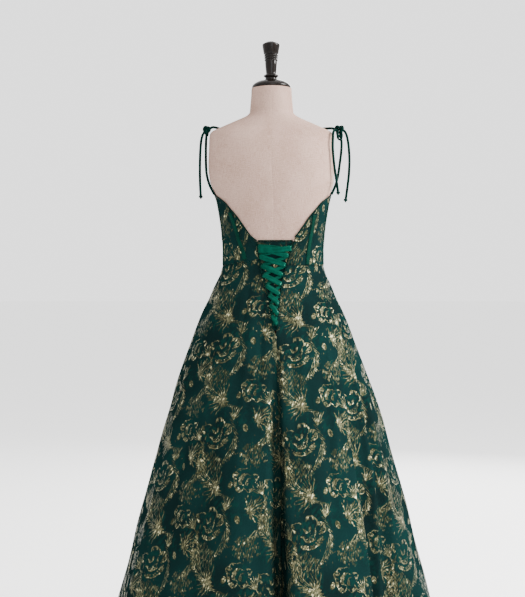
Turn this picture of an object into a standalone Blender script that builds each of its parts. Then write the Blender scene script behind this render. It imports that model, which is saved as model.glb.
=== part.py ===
"""Prom dress laced at the back, on a limbless dress form with a round stand.

Metres, +Z up. The wearer faces -Y, the wearer's left is +X, and the origin is the centre of the
stand base's underside. A turn is an angle round the body in degrees, from the centre back towards
the wearer's left: 90 is the left side, 180 the centre front and 270 the right side.
"""

import math
from collections import namedtuple

import bmesh
import bpy
import numpy as np
from mathutils import Vector

# Driving sizes
WAIST = 1.066  # height of the waist seam at the sides
WAIST_RISE = 0.018  # how far the laced left back pulls the waist seam up
WAIST_RISE_TURN = 48.0
HEM = 0.016
OPENING_END = 0.888  # height where the lacing opening closes into the centre back seam
SIDE_SEAM = 80.0  # turn of the side seams
THIGH = 0.71

CLOTH = 0.0016
RIBBON = 0.001
SEAM = 0.0003  # gap between neighbouring pieces
BODICE_ROWS = 11
LIFT = 0.0040  # outer face of the bodice above the form

POLE_RADIUS = 0.015
CORD_RADIUS = 0.0028
LOOP_RADIUS = 0.0022
REST = 0.0004  # gap between a strap and the form that it lies on
BINDING_RADIUS = 0.0014
EDGE_GAP = 0.0007  # between a binding and the curved edge that it covers
CASING_WIDTH = 0.0105
TAPE_LIFT = 0.0015  # outer face of a casing above the panel under it
MODESTY_TOP = 1.1275

LACE_TOP = 1.1145
LACE_PITCH = 0.0252
LACE_ROWS = 9
LACE_WIDTH_TOP = 0.0135
LACE_WIDTH_END = 0.0095
LACE_STEPS = 4
LOOPS_LIFT = 0.0014  # lifts of the loop tapes and of the two runs of ribbon above the back
UNDER_LIFT = 0.0027
OVER_LIFT = 0.0042

# Cross-sections of the form: half width, depth behind and before the axis, squareness, lean to left
Form = namedtuple("Form", "height width back front square lean")
FORM = [
    Form(0.800, 0.140, 0.103, 0.096, 2.2, 0.0),
    Form(0.803, 0.147, 0.109, 0.102, 2.2, 0.0),
    Form(0.812, 0.152, 0.113, 0.106, 2.2, 0.0),
    Form(0.870, 0.166, 0.122, 0.112, 2.2, 0.0),
    Form(0.930, 0.163, 0.118, 0.112, 2.2, 0.0),
    Form(0.980, 0.151, 0.106, 0.107, 2.25, 0.0),
    Form(1.030, 0.136, 0.092, 0.101, 2.3, 0.0),
    Form(1.066, 0.1295, 0.086, 0.098, 2.3, 0.0),
    Form(1.108, 0.1290, 0.086, 0.099, 2.3, 0.0),
    Form(1.140, 0.1312, 0.088, 0.101, 2.3, 0.0),
    Form(1.172, 0.1345, 0.091, 0.103, 2.3, 0.0),
    Form(1.204, 0.1395, 0.095, 0.106, 2.3, 0.0),
    Form(1.236, 0.1455, 0.099, 0.109, 2.3, 0.0),
    Form(1.254, 0.1510, 0.101, 0.110, 2.3, 0.0005),
    Form(1.289, 0.1635, 0.104, 0.107, 2.3, 0.003),
    Form(1.328, 0.1660, 0.105, 0.100, 2.3, 0.005),
    Form(1.380, 0.1645, 0.097, 0.087, 2.3, 0.005),
    Form(1.402, 0.1638, 0.088, 0.079, 2.3, 0.005),
    Form(1.413, 0.1625, 0.083, 0.074, 2.2, 0.005),
    Form(1.420, 0.1580, 0.079, 0.071, 2.1, 0.005),
    Form(1.428, 0.1430, 0.074, 0.067, 2.0, 0.005),
    Form(1.440, 0.1160, 0.068, 0.063, 2.0, 0.005),
    Form(1.452, 0.0880, 0.062, 0.059, 2.0, 0.005),
    Form(1.462, 0.0670, 0.058, 0.056, 2.0, 0.004),
    Form(1.472, 0.0580, 0.055, 0.054, 2.0, 0.004),
    Form(1.490, 0.0562, 0.0545, 0.0545, 2.0, 0.004),
    Form(1.512, 0.0543, 0.0533, 0.0533, 2.0, 0.004),
    Form(1.535, 0.0530, 0.0525, 0.0525, 2.0, 0.004),
]
FORM_ROWS = [1.05, 1.087, 1.156, 1.188, 1.220, 1.271, 1.308, 1.355]  # rings between the rows above

# The bust: a pair of cups of a general figure
CUP_TURN = 36.0
CUP_HEIGHT = 1.213
CUP_OUT = 0.031
CUP_SPREAD = 19.0
CUP_UP = 0.052
CUP_DOWN = 0.040
FORM_CUP = 0.88  # the form's bust is a little smaller than the bodice's cups

# Top edge of the bodice, the same on both sides
Neck = namedtuple("Neck", "turn height")
NECK = [
    Neck(24.0, 1.1255), Neck(30.0, 1.1305), Neck(35.6, 1.1395), Neck(44.7, 1.1650), Neck(51.5, 1.1885),
    Neck(58.8, 1.2092), Neck(66.5, 1.2296), Neck(77.0, 1.2440), Neck(90.0, 1.2543), Neck(101.0, 1.2600),
    Neck(113.0, 1.2710), Neck(127.0, 1.2890), Neck(141.0, 1.3020), Neck(152.0, 1.3030), Neck(164.0, 1.2935),
    Neck(173.0, 1.2865), Neck(180.0, 1.2850),
]

# Edges of the lacing opening, as distances to the left of the centre line
Opening = namedtuple("Opening", "height left right")
OPENING = [
    Opening(0.888, -0.0050, -0.0050), Opening(0.908, 0.0022, -0.0092), Opening(0.941, 0.0062, -0.0112),
    Opening(0.966, 0.0100, -0.0138), Opening(0.987, 0.0130, -0.0160), Opening(1.010, 0.0200, -0.0208),
    Opening(1.038, 0.0282, -0.0249), Opening(1.069, 0.0339, -0.0339), Opening(1.092, 0.0378, -0.0406),
    Opening(1.131, 0.0432, -0.0555),
]

# Back princess seams, as distances from the centre line
Princess = namedtuple("Princess", "height left right")
PRINCESS = [
    Princess(1.066, 0.0705, -0.0880), Princess(1.100, 0.0780, -0.0905), Princess(1.130, 0.0887, -0.0950),
    Princess(1.165, 0.0990, -0.1010), Princess(1.212, 0.1165, -0.1090),
]
# Front princess seams over the cups, as turns away from the centre front
FrontSeam = namedtuple("FrontSeam", "height turn")
FRONT_SEAM = [FrontSeam(1.066, 29.0), FrontSeam(1.140, 33.0), FrontSeam(1.213, 37.0), FrontSeam(1.300, 38.0)]

# Cross-sections of the skirt below the waist, before its folds
Skirt = namedtuple("Skirt", "height width back front square")
SKIRT = [
    Skirt(0.016, 0.447, 0.430, 0.410, 2.0), Skirt(0.190, 0.409, 0.388, 0.370, 2.0),
    Skirt(0.314, 0.378, 0.355, 0.340, 2.0), Skirt(0.446, 0.346, 0.319, 0.305, 2.0),
    Skirt(0.579, 0.308, 0.276, 0.265, 2.05), Skirt(0.727, 0.266, 0.228, 0.220, 2.1),
    Skirt(0.791, 0.244, 0.206, 0.200, 2.1), Skirt(0.854, 0.221, 0.183, 0.180, 2.15),
    Skirt(0.918, 0.1975, 0.156, 0.156, 2.2), Skirt(0.950, 0.184, 0.142, 0.143, 2.2),
    Skirt(0.981, 0.1685, 0.126, 0.130, 2.25), Skirt(1.013, 0.155, 0.109, 0.118, 2.3),
    Skirt(1.045, 0.1395, 0.0945, 0.106, 2.3),
]
SKIRT_SHARES = [0.0, 0.035, 0.08, 0.14, 0.21, 0.30, 0.42, 0.55, 0.69, 0.84, 1.0]

# Fold lines of the skirt, top to hem: turns at waist, thigh and hem, how far the cloth stands out
# there at the hem, and the height where the fold begins
Fold = namedtuple("Fold", "waist thigh hem out starts")
BACK_LEFT = [
    Fold(-1.5, -3.0, -4.1, -0.092, 0.890), Fold(5.0, 1.0, -1.4, -0.070, 0.890),
    Fold(10.0, 5.5, 2.6, -0.028, 0.890), Fold(16.0, 11.0, 7.5, 0.002, 0.900),
    Fold(24.0, 18.0, 14.0, 0.015, 0.860), Fold(32.0, 26.0, 22.0, 0.014, 0.860),
    Fold(40.0, 34.0, 31.0, -0.006, 0.840), Fold(48.0, 43.0, 40.0, -0.004, 0.840),
    Fold(56.0, 52.0, 49.0, -0.018, 0.820), Fold(64.0, 60.0, 58.0, 0.006, 0.820),
    Fold(72.0, 69.0, 67.5, 0.006, 0.800), Fold(80.0, 78.0, 77.0, -0.003, 0.800),
]
BACK_RIGHT = [
    Fold(-80.0, -78.0, -77.0, 0.004, 0.850), Fold(-77.5, -71.0, -68.0, 0.009, 0.880),
    Fold(-75.0, -64.0, -58.0, 0.001, 0.920), Fold(-72.5, -57.0, -49.0, -0.028, 0.940),
    Fold(-70.0, -51.5, -42.5, -0.062, 0.950), Fold(-67.5, -48.0, -38.6, -0.062, 0.950),
    Fold(-65.5, -46.2, -36.6, -0.020, 0.950), Fold(-63.0, -44.4, -35.0, 0.012, 0.950),
    Fold(-57.0, -38.0, -29.0, 0.018, 0.930), Fold(-47.0, -29.0, -21.5, 0.012, 0.920),
    Fold(-34.0, -19.0, -14.0, 0.010, 0.900), Fold(-20.0, -10.0, -8.6, 0.010, 0.900),
    Fold(-11.0, -5.8, -6.2, 0.004, 0.890), Fold(-6.5, -4.4, -5.5, -0.020, 0.890),
    Fold(-3.5, -3.8, -5.6, -0.064, 0.890), Fold(-1.5, -3.0, -4.1, -0.092, 0.890),
]
FRONT = [
    Fold(80.0, 78.0, 77.0, -0.003, 0.800), Fold(90.0, 88.5, 88.0, -0.010, 0.820),
    Fold(100.0, 99.0, 98.0, 0.010, 0.860), Fold(110.0, 109.0, 108.0, 0.015, 0.860),
    Fold(119.0, 119.0, 118.0, -0.012, 0.880), Fold(127.0, 127.0, 127.0, -0.022, 0.880),
    Fold(136.0, 136.0, 137.0, 0.008, 0.900), Fold(146.0, 146.0, 147.0, 0.018, 0.900),
    Fold(156.0, 156.0, 157.0, -0.006, 0.850), Fold(165.0, 165.0, 166.0, -0.017, 0.850),
    Fold(176.0, 177.0, 177.0, 0.006, 0.870), Fold(187.0, 187.0, 187.0, 0.014, 0.870),
    Fold(197.0, 197.0, 196.0, -0.008, 0.900), Fold(206.0, 206.0, 205.0, -0.025, 0.900),
    Fold(215.0, 215.0, 215.0, 0.004, 0.880), Fold(225.0, 225.0, 226.0, 0.018, 0.880),
    Fold(235.0, 235.0, 236.0, -0.002, 0.840), Fold(245.0, 246.0, 247.0, -0.018, 0.840),
    Fold(256.0, 257.0, 258.0, 0.004, 0.830), Fold(268.0, 269.0, 270.0, 0.010, 0.830),
    Fold(280.0, 282.0, 283.0, 0.004, 0.850),
]

# Routes of the cords, as points in space: straps from the neckline to the knots, and free tails
STRAP_BACK_LEFT = [
    (0.1668, 0.0120, 1.2790), (0.1745, 0.0090, 1.3060), (0.1768, 0.0070, 1.3350),
    (0.1772, 0.0070, 1.3640), (0.1768, 0.0080, 1.3900), (0.1752, 0.0100, 1.4160),
]
STRAP_BACK_RIGHT = [
    (-0.1640, 0.0130, 1.2790), (-0.1710, 0.0120, 1.3060), (-0.1752, 0.0110, 1.3350),
    (-0.1790, 0.0110, 1.3640), (-0.1802, 0.0120, 1.3900), (-0.1773, 0.0140, 1.4153),
]
TAIL_LEFT = [
    (0.1812, 0.0119, 1.4191), (0.1865, 0.0140, 1.4090), (0.1900, 0.0150, 1.3920),
    (0.1918, 0.0150, 1.3680), (0.1928, 0.0150, 1.3380), (0.1930, 0.0150, 1.3080),
    (0.1922, 0.0150, 1.2780), (0.1908, 0.0150, 1.2520),
]
TAIL_RIGHT_INNER = [
    (-0.1662, 0.0178, 1.4243), (-0.1580, 0.0330, 1.4170), (-0.1555, 0.0470, 1.3960),
    (-0.1550, 0.0500, 1.3720), (-0.1570, 0.0500, 1.3450), (-0.1600, 0.0490, 1.3180),
    (-0.1645, 0.0460, 1.2900), (-0.1690, 0.0420, 1.2600),
]
TAIL_RIGHT_OUTER = [
    (-0.1832, 0.0150, 1.4240), (-0.1895, 0.0160, 1.4190), (-0.1950, 0.0160, 1.4050),
    (-0.1990, 0.0160, 1.3800), (-0.2010, 0.0160, 1.3480), (-0.2000, 0.0160, 1.3130),
    (-0.1965, 0.0160, 1.2790), (-0.1915, 0.0160, 1.2430),
]
LOOP_RIGHT = [
    (-0.1778, 0.0228, 1.4200), (-0.1806, 0.0265, 1.4110), (-0.1795, 0.0290, 1.4010),
    (-0.1745, 0.0295, 1.3965), (-0.1697, 0.0290, 1.4010), (-0.1688, 0.0265, 1.4110),
    (-0.1712, 0.0228, 1.4200),
]
# The straps' way down the front of the form, as turns and heights; the first points leave the knots
Rest = namedtuple("Rest", "turn height")
STRAP_FRONT = [
    Rest(99.0, 1.4290), Rest(107.0, 1.4270), Rest(114.0, 1.4180), Rest(120.0, 1.4020), Rest(124.0, 1.3820),
    Rest(127.5, 1.3580), Rest(131.0, 1.3360), Rest(134.5, 1.3170),
]
STRAP_FRONT_STARTS = {"left": (0.1708, 0.0038, 1.4265), "right": (-0.1709, 0.0083, 1.4238)}
STRAP_BACK_FOOT = Rest(84.5, 0.0052)  # heights of the feet are above the neckline
STRAP_FRONT_FOOT = Rest(137.0, 0.0046)
Knot = namedtuple("Knot", "place radius")
KNOT_LEFT = Knot((0.1750, 0.0100, 1.4235), 0.0070)
KNOT_RIGHT = Knot((-0.1745, 0.0150, 1.4225), 0.0073)
TAIL_KNOT_RADIUS = 0.0042

# Turned profiles, from the top down: distance from the axis and height
Turned = namedtuple("Turned", "radius height")
CAP = [
    Turned(0.0, 1.5575), Turned(0.0180, 1.5575), Turned(0.0320, 1.5545), Turned(0.0443, 1.5490),
    Turned(0.0518, 1.5425), Turned(0.0522, 1.5385), Turned(0.0500, 1.5355), Turned(0.0, 1.5355),
]
FINIAL = [
    Turned(0.0, 1.6625), Turned(0.0068, 1.6610), Turned(0.0220, 1.6540), Turned(0.0240, 1.6515),
    Turned(0.0226, 1.6420), Turned(0.0201, 1.6270), Turned(0.0170, 1.6250), Turned(0.0190, 1.6222),
    Turned(0.0164, 1.6195), Turned(0.0184, 1.6165), Turned(0.0158, 1.6135), Turned(0.0176, 1.6105),
    Turned(0.0167, 1.6070), Turned(0.0138, 1.5740), Turned(0.0201, 1.5700), Turned(0.0201, 1.5670),
    Turned(0.0156, 1.5630), Turned(0.0170, 1.5578), Turned(0.0, 1.5578),
]
STAND = [
    Turned(0.0, 0.0235), Turned(0.0240, 0.0235), Turned(0.0300, 0.0200), Turned(0.1820, 0.0170),
    Turned(0.1880, 0.0145), Turned(0.1900, 0.0100), Turned(0.1900, 0.0), Turned(0.0, 0.0),
]

LINEN = (0.62, 0.53, 0.46, 1.0)
BROCADE = (0.035, 0.10, 0.095, 1.0)
DARK_GREEN = (0.012, 0.055, 0.035, 1.0)
SATIN = (0.0, 0.17, 0.10, 1.0)
EBONY = (0.03, 0.024, 0.02, 1.0)
IRON = (0.05, 0.05, 0.05, 1.0)


def smooth(xs, ys, at):
    """Values at `at` of a curve through the points (xs, ys) that never overshoots them."""
    xs, ys, at = (np.asarray(v, dtype=float) for v in (xs, ys, at))
    step = np.diff(xs)
    slope = np.diff(ys) / step
    tangent = np.zeros(len(xs))
    tangent[0], tangent[-1] = slope[0], slope[-1]
    for i in range(1, len(xs) - 1):
        before, after = slope[i - 1], slope[i]
        if before * after > 0:
            tangent[i] = 2 * before * after / (before + after)
    at = np.clip(at, xs[0], xs[-1])
    i = np.clip(np.searchsorted(xs, at, side="right") - 1, 0, len(xs) - 2)
    u = (at - xs[i]) / step[i]
    start = (1 + 2 * u) * (1 - u) ** 2 * ys[i] + u * (1 - u) ** 2 * step[i] * tangent[i]
    end = u * u * (3 - 2 * u) * ys[i + 1] + u * u * (u - 1) * step[i] * tangent[i + 1]
    return start + end


def read(table, column, at, key="height"):
    """A column of a table at a height, or at another key."""
    return smooth([getattr(row, key) for row in table], [getattr(row, column) for row in table], at)


def ring_radius(turn, width, depth, square):
    """Distance from the axis to a rounded section of half width and depth, in the direction of turn."""
    a = np.radians(turn)
    return (np.abs(np.sin(a) / width) ** square + np.abs(np.cos(a) / depth) ** square) ** (-1 / square)


def ring_point(turn, height, radius, lean=0.0):
    a = np.radians(turn)
    return np.stack([radius * np.sin(a) + lean, radius * np.cos(a), height], axis=-1)


def cups(turn, height):
    """How far the bust stands out of the plain sections."""
    away = np.abs((np.asarray(turn) + 180) % 360 - 180)
    side = (180 - away - CUP_TURN) / CUP_SPREAD
    rise = height - CUP_HEIGHT
    tall = rise / np.where(rise > 0, CUP_UP, CUP_DOWN)
    return CUP_OUT * np.exp(-side**2 - tall**2)


def form_point(turn, height, cup=1.0):
    turn, height = np.broadcast_arrays(np.asarray(turn, float), np.asarray(height, float))
    facing_back = np.cos(np.radians(turn)) > 0
    depth = np.where(facing_back, read(FORM, "back", height), read(FORM, "front", height))
    radius = ring_radius(turn, read(FORM, "width", height), depth, read(FORM, "square", height))
    return ring_point(turn, height, radius + cups(turn, height) * cup, read(FORM, "lean", height))


def outward(surface, turn, height):
    """Unit normals of a surface given as a function of turn and height."""
    across = surface(turn + 0.4, height) - surface(turn - 0.4, height)
    up = surface(turn, height + 0.001) - surface(turn, height - 0.001)
    normal = np.cross(up, across)
    return normal / np.linalg.norm(normal, axis=-1, keepdims=True)


def bodice_point(turn, height, lift=LIFT):
    turn, height = np.broadcast_arrays(np.asarray(turn, float), np.asarray(height, float))
    return form_point(turn, height) + outward(form_point, turn, height) * lift


def skirt_sections():
    """The skirt's table with its top row taken from the bodice at the waist."""
    waist = Skirt(
        WAIST, read(FORM, "width", WAIST) + LIFT, read(FORM, "back", WAIST) + LIFT,
        read(FORM, "front", WAIST) + LIFT, read(FORM, "square", WAIST),
    )
    return SKIRT + [waist]


SECTIONS = skirt_sections()


def skirt_radius(turn, height):
    facing_back = np.cos(np.radians(turn)) > 0
    depth = np.where(facing_back, read(SECTIONS, "back", height), read(SECTIONS, "front", height))
    return ring_radius(turn, read(SECTIONS, "width", height), depth, read(SECTIONS, "square", height))


def garment_point(turn, height):
    """The dress's outer face without folds: the bodice above the waist, the skirt below it."""
    turn, height = np.broadcast_arrays(np.asarray(turn, float), np.asarray(height, float))
    skirt = ring_point(turn, height, skirt_radius(turn, height))
    return np.where((height > WAIST)[..., None], bodice_point(turn, height), skirt)


def back_turn(distance, height):
    """The turn at which the garment's back lies a distance to the left of the centre line."""
    distance, height = np.broadcast_arrays(np.asarray(distance, float), np.asarray(height, float))
    low, high = np.full(distance.shape, -85.0), np.full(distance.shape, 85.0)
    for _ in range(30):
        middle = (low + high) / 2
        short = garment_point(middle, height)[..., 0] < distance
        low, high = np.where(short, middle, low), np.where(short, high, middle)
    return (low + high) / 2


def back_point(distance, height, lift=0.0):
    turn = back_turn(distance, height)
    return garment_point(turn, height) + outward(garment_point, turn, height) * lift


def slack(height, start=WAIST):
    """Extra room between the skirt, below its start, and what lies under or over it."""
    return np.clip((start - height) / 0.02, 0, 1) * 0.0014


def neck_height(turn):
    away = np.abs((np.asarray(turn, float) + 180) % 360 - 180)
    return read(NECK, "height", away, key="turn")


def waist_height(turn):
    turn = (np.asarray(turn, float) + 180) % 360 - 180
    return WAIST + WAIST_RISE * np.exp(-((turn / WAIST_RISE_TURN) ** 2)) * (turn > 0)


def opening_turn(side, height):
    return back_turn(read(OPENING, side, height), height)


def princess_turn(side, height):
    return back_turn(read(PRINCESS, side, height), height)


def front_seam_turn(side, height):
    away = read(FRONT_SEAM, "turn", height)
    return 180 - away if side == "left" else 180 + away


def collection(name):
    made = bpy.data.collections.new(name)
    bpy.context.scene.collection.children.link(made)
    return made


def material(name, colour, roughness, metallic=0.0):
    made = bpy.data.materials.new(name)
    made.use_nodes = True
    shader = made.node_tree.nodes["Principled BSDF"]
    shader.inputs["Base Color"].default_value = colour
    shader.inputs["Roughness"].default_value = roughness
    shader.inputs["Metallic"].default_value = metallic
    return made


def add(name, data, look):
    """Link an object of the part, with a material of its own."""
    made = bpy.data.objects.new(name, data)
    colour, roughness = look
    data.materials.append(material(name, colour, roughness))
    DRESS.objects.link(made)
    return made


def adopt(made, name, look):
    """Name a new primitive, give it its material and move it to the part's collection."""
    made.name = made.data.name = name
    for other in list(made.users_collection):
        other.objects.unlink(made)
    DRESS.objects.link(made)
    made.data.materials.append(material(name, *look))
    return made


def mesh_of(name, points, faces):
    mesh = bpy.data.meshes.new(name)
    mesh.from_pydata([tuple(p) for p in points], [], faces)
    mesh.update()
    return mesh


def grid_faces(columns, rows):
    """Faces of a grid whose columns run with the turn and whose rows run upwards, facing out."""
    return [
        (i * rows + j, i * rows + j + 1, (i + 1) * rows + j + 1, (i + 1) * rows + j)
        for i in range(columns - 1)
        for j in range(rows - 1)
    ]


def wall(name, outer, inner, look):
    """A wall of cloth lofted between its outer and inner grids of points."""
    columns, rows, _ = outer.shape
    count = columns * rows
    faces = grid_faces(columns, rows)
    faces += [tuple(count + k for k in reversed(face)) for face in faces]
    top_down = [i * rows + rows - 1 for i in range(columns)]
    bottom = [i * rows for i in range(columns)]
    start, end = list(range(rows)), [(columns - 1) * rows + j for j in range(rows)]
    for line in (bottom[::-1], start, top_down, end[::-1]):
        faces += [(a, count + a, count + b, b) for a, b in zip(line, line[1:])]
    add(name, mesh_of(name, np.concatenate([outer.reshape(-1, 3), inner.reshape(-1, 3)]), faces), look)


def cloth(name, grid, look, thick=CLOTH):
    """A wall of cloth under a grid of points: an open surface with Solidify on its inner side."""
    columns, rows, _ = grid.shape
    mesh = mesh_of(name, grid.reshape(-1, 3), grid_faces(columns, rows))
    made = add(name, mesh, look)
    solid = made.modifiers.new("wall", "SOLIDIFY")
    solid.thickness = thick
    solid.offset = -1
    solid.use_quality_normals = True
    mesh.shade_smooth()


def inset(line, gap=SEAM / 2):
    """A line of points with both its ends drawn in, which leaves the gap at a seam."""
    line = np.array(line)
    for end, inner in ((0, 1), (-1, -2)):
        way = line[inner] - line[end]
        line[end] += way / np.linalg.norm(way, axis=-1, keepdims=True) * gap
    return line


def curve_through(points, counts):
    """A Catmull-Rom curve through control points, with counts of steps between each two."""
    points = np.asarray(points, float)
    padded = np.concatenate([[2 * points[0] - points[1]], points, [2 * points[-1] - points[-2]]])
    out = []
    for i in range(len(points) - 1):
        a, b, c, d = padded[i : i + 4]
        for k in range(counts):
            u = k / counts
            out.append(
                0.5 * (2 * b + (c - a) * u + (2 * a - 5 * b + 4 * c - d) * u**2
                       + (3 * b - a - 3 * c + d) * u**3)
            )
    out.append(points[-1])
    return np.array(out)


def panel(name, left_edge, right_edge, columns):
    """A bodice panel between two seams, each a function of height, from the waist to the neckline."""
    share = np.linspace(0, 1, BODICE_ROWS)[None, :]
    across = np.linspace(0, 1, columns)[:, None]
    height = np.full((columns, BODICE_ROWS), WAIST)
    for _ in range(25):
        turn = left_edge(height) + across * (right_edge(height) - left_edge(height))
        top, bottom = neck_height(turn), waist_height(turn) + SEAM / 2
        height = bottom + share * (top - bottom)
    outer, inner = bodice_point(turn, height), bodice_point(turn, height, LIFT - CLOTH)
    wall(name, inset(outer), inset(inner), (BROCADE, 0.5))


def fixed(turn):
    return lambda height: np.full(np.shape(height), float(turn))


def seam(function, side):
    return lambda height: function(side, height)


def make_bodice():
    back_left, back_right = seam(opening_turn, "left"), seam(opening_turn, "right")
    princess_left, princess_right = seam(princess_turn, "left"), seam(princess_turn, "right")
    cup_left, cup_right = seam(front_seam_turn, "left"), seam(front_seam_turn, "right")
    panel("bodice_centre_back_left", back_left, princess_left, 7)
    panel("bodice_side_back_left", princess_left, fixed(SIDE_SEAM), 8)
    panel("bodice_side_front_left", fixed(SIDE_SEAM), cup_left, 10)
    panel("bodice_front", cup_left, cup_right, 12)
    panel("bodice_side_front_right", cup_right, fixed(360 - SIDE_SEAM), 10)
    panel("bodice_side_back_right", fixed(-SIDE_SEAM), princess_right, 8)
    panel("bodice_centre_back_right", princess_right, back_right, 7)


def casing(name, middle, bottom, top):
    """A tape on the bodice: its centre line is a turn at each height, and it lies on the panels."""
    heights = np.linspace(bottom, top, 8)
    turns = middle(heights)
    radius = np.linalg.norm(bodice_point(turns, heights)[:, :2], axis=-1)
    half = np.degrees(CASING_WIDTH / 2 / radius)
    grid = [bodice_point(turn, heights, LIFT + TAPE_LIFT) for turn in (turns - half, turns, turns + half)]
    cloth(name, np.array(grid), (DARK_GREEN, 0.35), RIBBON)


def make_casings():
    for side, sign, bottom, top in (("left", 1, 1.0805, 1.2035), ("right", -1, 1.0680, 1.1960)):
        casing(f"casing_back_{side}", seam(princess_turn, side), bottom, top)
        casing(f"casing_side_{side}", fixed(sign * SIDE_SEAM), 1.0695, 1.2420)


def make_modesty_panel():
    heights = np.linspace(OPENING_END + 0.013, MODESTY_TOP, 12)
    margin = np.interp(heights, [heights[0], WAIST], [0.004, 0.012])
    left = read(OPENING, "left", heights) + margin
    right = read(OPENING, "right", heights) - margin
    share = np.linspace(0, 1, 8)[:, None]
    distance = right + (left - right) * share
    level = np.broadcast_to(heights, distance.shape)
    lift = -CLOTH - 0.0005 - slack(level)[..., None]
    cloth("modesty_panel", back_point(distance, level, lift), (BROCADE, 0.5), RIBBON)


def edge_tube(name, turns, lift, end_gap=0.0):
    """Binding along the bodice's top edge."""
    def edge(turn):
        return bodice_point(turn, neck_height(turn), lift)

    places = edge(turns)
    along = edge(turns + 0.5) - edge(turns - 0.5)
    normal = outward(form_point, turns, neck_height(turns))
    up = np.cross(along, normal)
    up /= np.linalg.norm(up, axis=-1, keepdims=True)
    up *= np.sign(up[:, 2])[:, None]
    route = inset(places + up * (BINDING_RADIUS + EDGE_GAP), end_gap)
    tube(name, route, BINDING_RADIUS, (DARK_GREEN, 0.3), 1)


def make_bindings():
    lift = LIFT - CLOTH / 2
    left_end = float(opening_turn("left", 1.126)) + 0.8
    right_end = float(opening_turn("right", 1.135)) - 0.8
    edge_tube("binding_back_left", np.linspace(left_end, SIDE_SEAM - 0.3, 22), lift)
    edge_tube("binding_back_right", np.linspace(-SIDE_SEAM + 0.3, right_end, 20), lift)
    edge_tube("binding_front", np.linspace(SIDE_SEAM + 0.3, 359.7 - SIDE_SEAM, 44), lift)
    distance = np.linspace(0.0405, -0.0500, 12)
    top = back_point(distance, MODESTY_TOP, 0.0001 - CLOTH)
    top[:, 2] += BINDING_RADIUS + SEAM
    tube("binding_modesty", top, BINDING_RADIUS, (DARK_GREEN, 0.3), 1)


def make_loops():
    """Tapes along the lacing opening, scalloped into the loops that hold the ribbon."""
    steps = LACE_ROWS * 4 + 1
    heights = np.linspace(LACE_TOP - LACE_PITCH * (LACE_ROWS - 1.1), LACE_TOP + 0.006, steps)
    scallop = np.abs(np.sin(np.linspace(0, math.pi * LACE_ROWS, steps)))
    width = read(OPENING, "left", heights) - read(OPENING, "right", heights)
    reach = np.minimum(0.001 + 0.005 * scallop, 0.3 * width)
    for side, sign in (("left", 1), ("right", -1)):
        edge = read(OPENING, side, heights)
        lift = (LOOPS_LIFT + slack(heights, WAIST + 0.02))[:, None]
        outer = back_point(edge + sign * 0.004, heights, lift)
        inner = back_point(edge - sign * reach, heights, lift)
        lines = [outer, inner]
        if side == "left":
            lines.reverse()
        cloth(f"lacing_loops_{side}", np.array(lines), (DARK_GREEN, 0.4), RIBBON)


def lace_width(height):
    share = (LACE_TOP - height) / (LACE_PITCH * (LACE_ROWS - 1))
    return LACE_WIDTH_TOP + (LACE_WIDTH_END - LACE_WIDTH_TOP) * min(max(share, 0), 1)


def lace_corners(first_side):
    """Where the folded edges of a zigzag run lie: (distance, height) down alternate sides."""
    rows = []
    for row in range(LACE_ROWS):
        side = "left" if (row % 2 == 0) == (first_side == "left") else "right"
        height = LACE_TOP - LACE_PITCH * row
        sign = 1 if side == "left" else -1
        rows.append((float(read(OPENING, side, height)) - sign * 0.0015, height, sign))
    return rows


def zigzag(name, first_side, lift):
    """A flat ribbon that runs from side to side down the opening, folded over at each side."""
    corners = lace_corners(first_side)
    centres = [Vector((x, z)) for x, z, _ in corners]
    for _ in range(6):
        centres = [fold_centre(centres, i, corners[i]) for i in range(len(corners))]
    points, faces = [], []

    def put(place):
        points.append(back_point(place.x, place.y, lift + float(slack(place.y, WAIST + 0.02))))
        return len(points) - 1

    inner = {}
    for i in range(1, len(centres) - 1):
        inner[i] = put(fold_inner(centres, i))
    last_outer = None
    for i in range(len(centres) - 1):
        start, end = centres[i], centres[i + 1]
        way = (end - start).normalized()
        half = Vector((-way.y, way.x)) * lace_width((start.y + end.y) / 2) / 2
        if half.y < 0:
            half = -half
        upper_start, lower_end = start + half, end - half
        if i in inner:
            upper_start = fold_inner(centres, i)
        if i + 1 in inner:
            lower_end = fold_inner(centres, i + 1)
        lower_start, upper_end = upper_start - half * 2, lower_end + half * 2
        uppers = [inner[i] if i in inner else put(upper_start)]
        lowers = [put(lower_start)]
        for k in range(1, LACE_STEPS):
            uppers.append(put(upper_start.lerp(upper_end, k / LACE_STEPS)))
            lowers.append(put(lower_start.lerp(lower_end, k / LACE_STEPS)))
        uppers.append(put(upper_end))
        lowers.append(inner[i + 1] if i + 1 in inner else put(lower_end))
        for k in range(LACE_STEPS):
            faces.append([lowers[k], uppers[k], uppers[k + 1], lowers[k + 1]])
        if last_outer is not None:
            faces.append([inner[i], lowers[0], last_outer])
        last_outer = uppers[-1]
    mesh = mesh_of(name, points, faces)
    made = add(name, mesh, (SATIN, 0.3))
    face_away(mesh)
    solid = made.modifiers.new("wall", "SOLIDIFY")
    solid.thickness = RIBBON
    solid.offset = -1


def fold_angle(centres, i):
    back = (centres[i - 1] - centres[i]).normalized()
    ahead = (centres[i + 1] - centres[i]).normalized()
    middle = (back + ahead).normalized()
    return middle, math.sin(back.angle(ahead) / 2)


def fold_inner(centres, i):
    middle, sine = fold_angle(centres, i)
    return centres[i] + middle * (lace_width(centres[i].y) / 2 / sine)


def fold_centre(centres, i, corner):
    """Where the centre lines meet, so that the folded edge comes out at its corner's distance."""
    distance, height, sign = corner
    if i in (0, len(centres) - 1):
        return Vector((distance, height))
    _, sine = fold_angle(centres, i)
    inward = lace_width(height) * (1 / (2 * sine) - sine)
    return Vector((distance + sign * inward, height))


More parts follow.
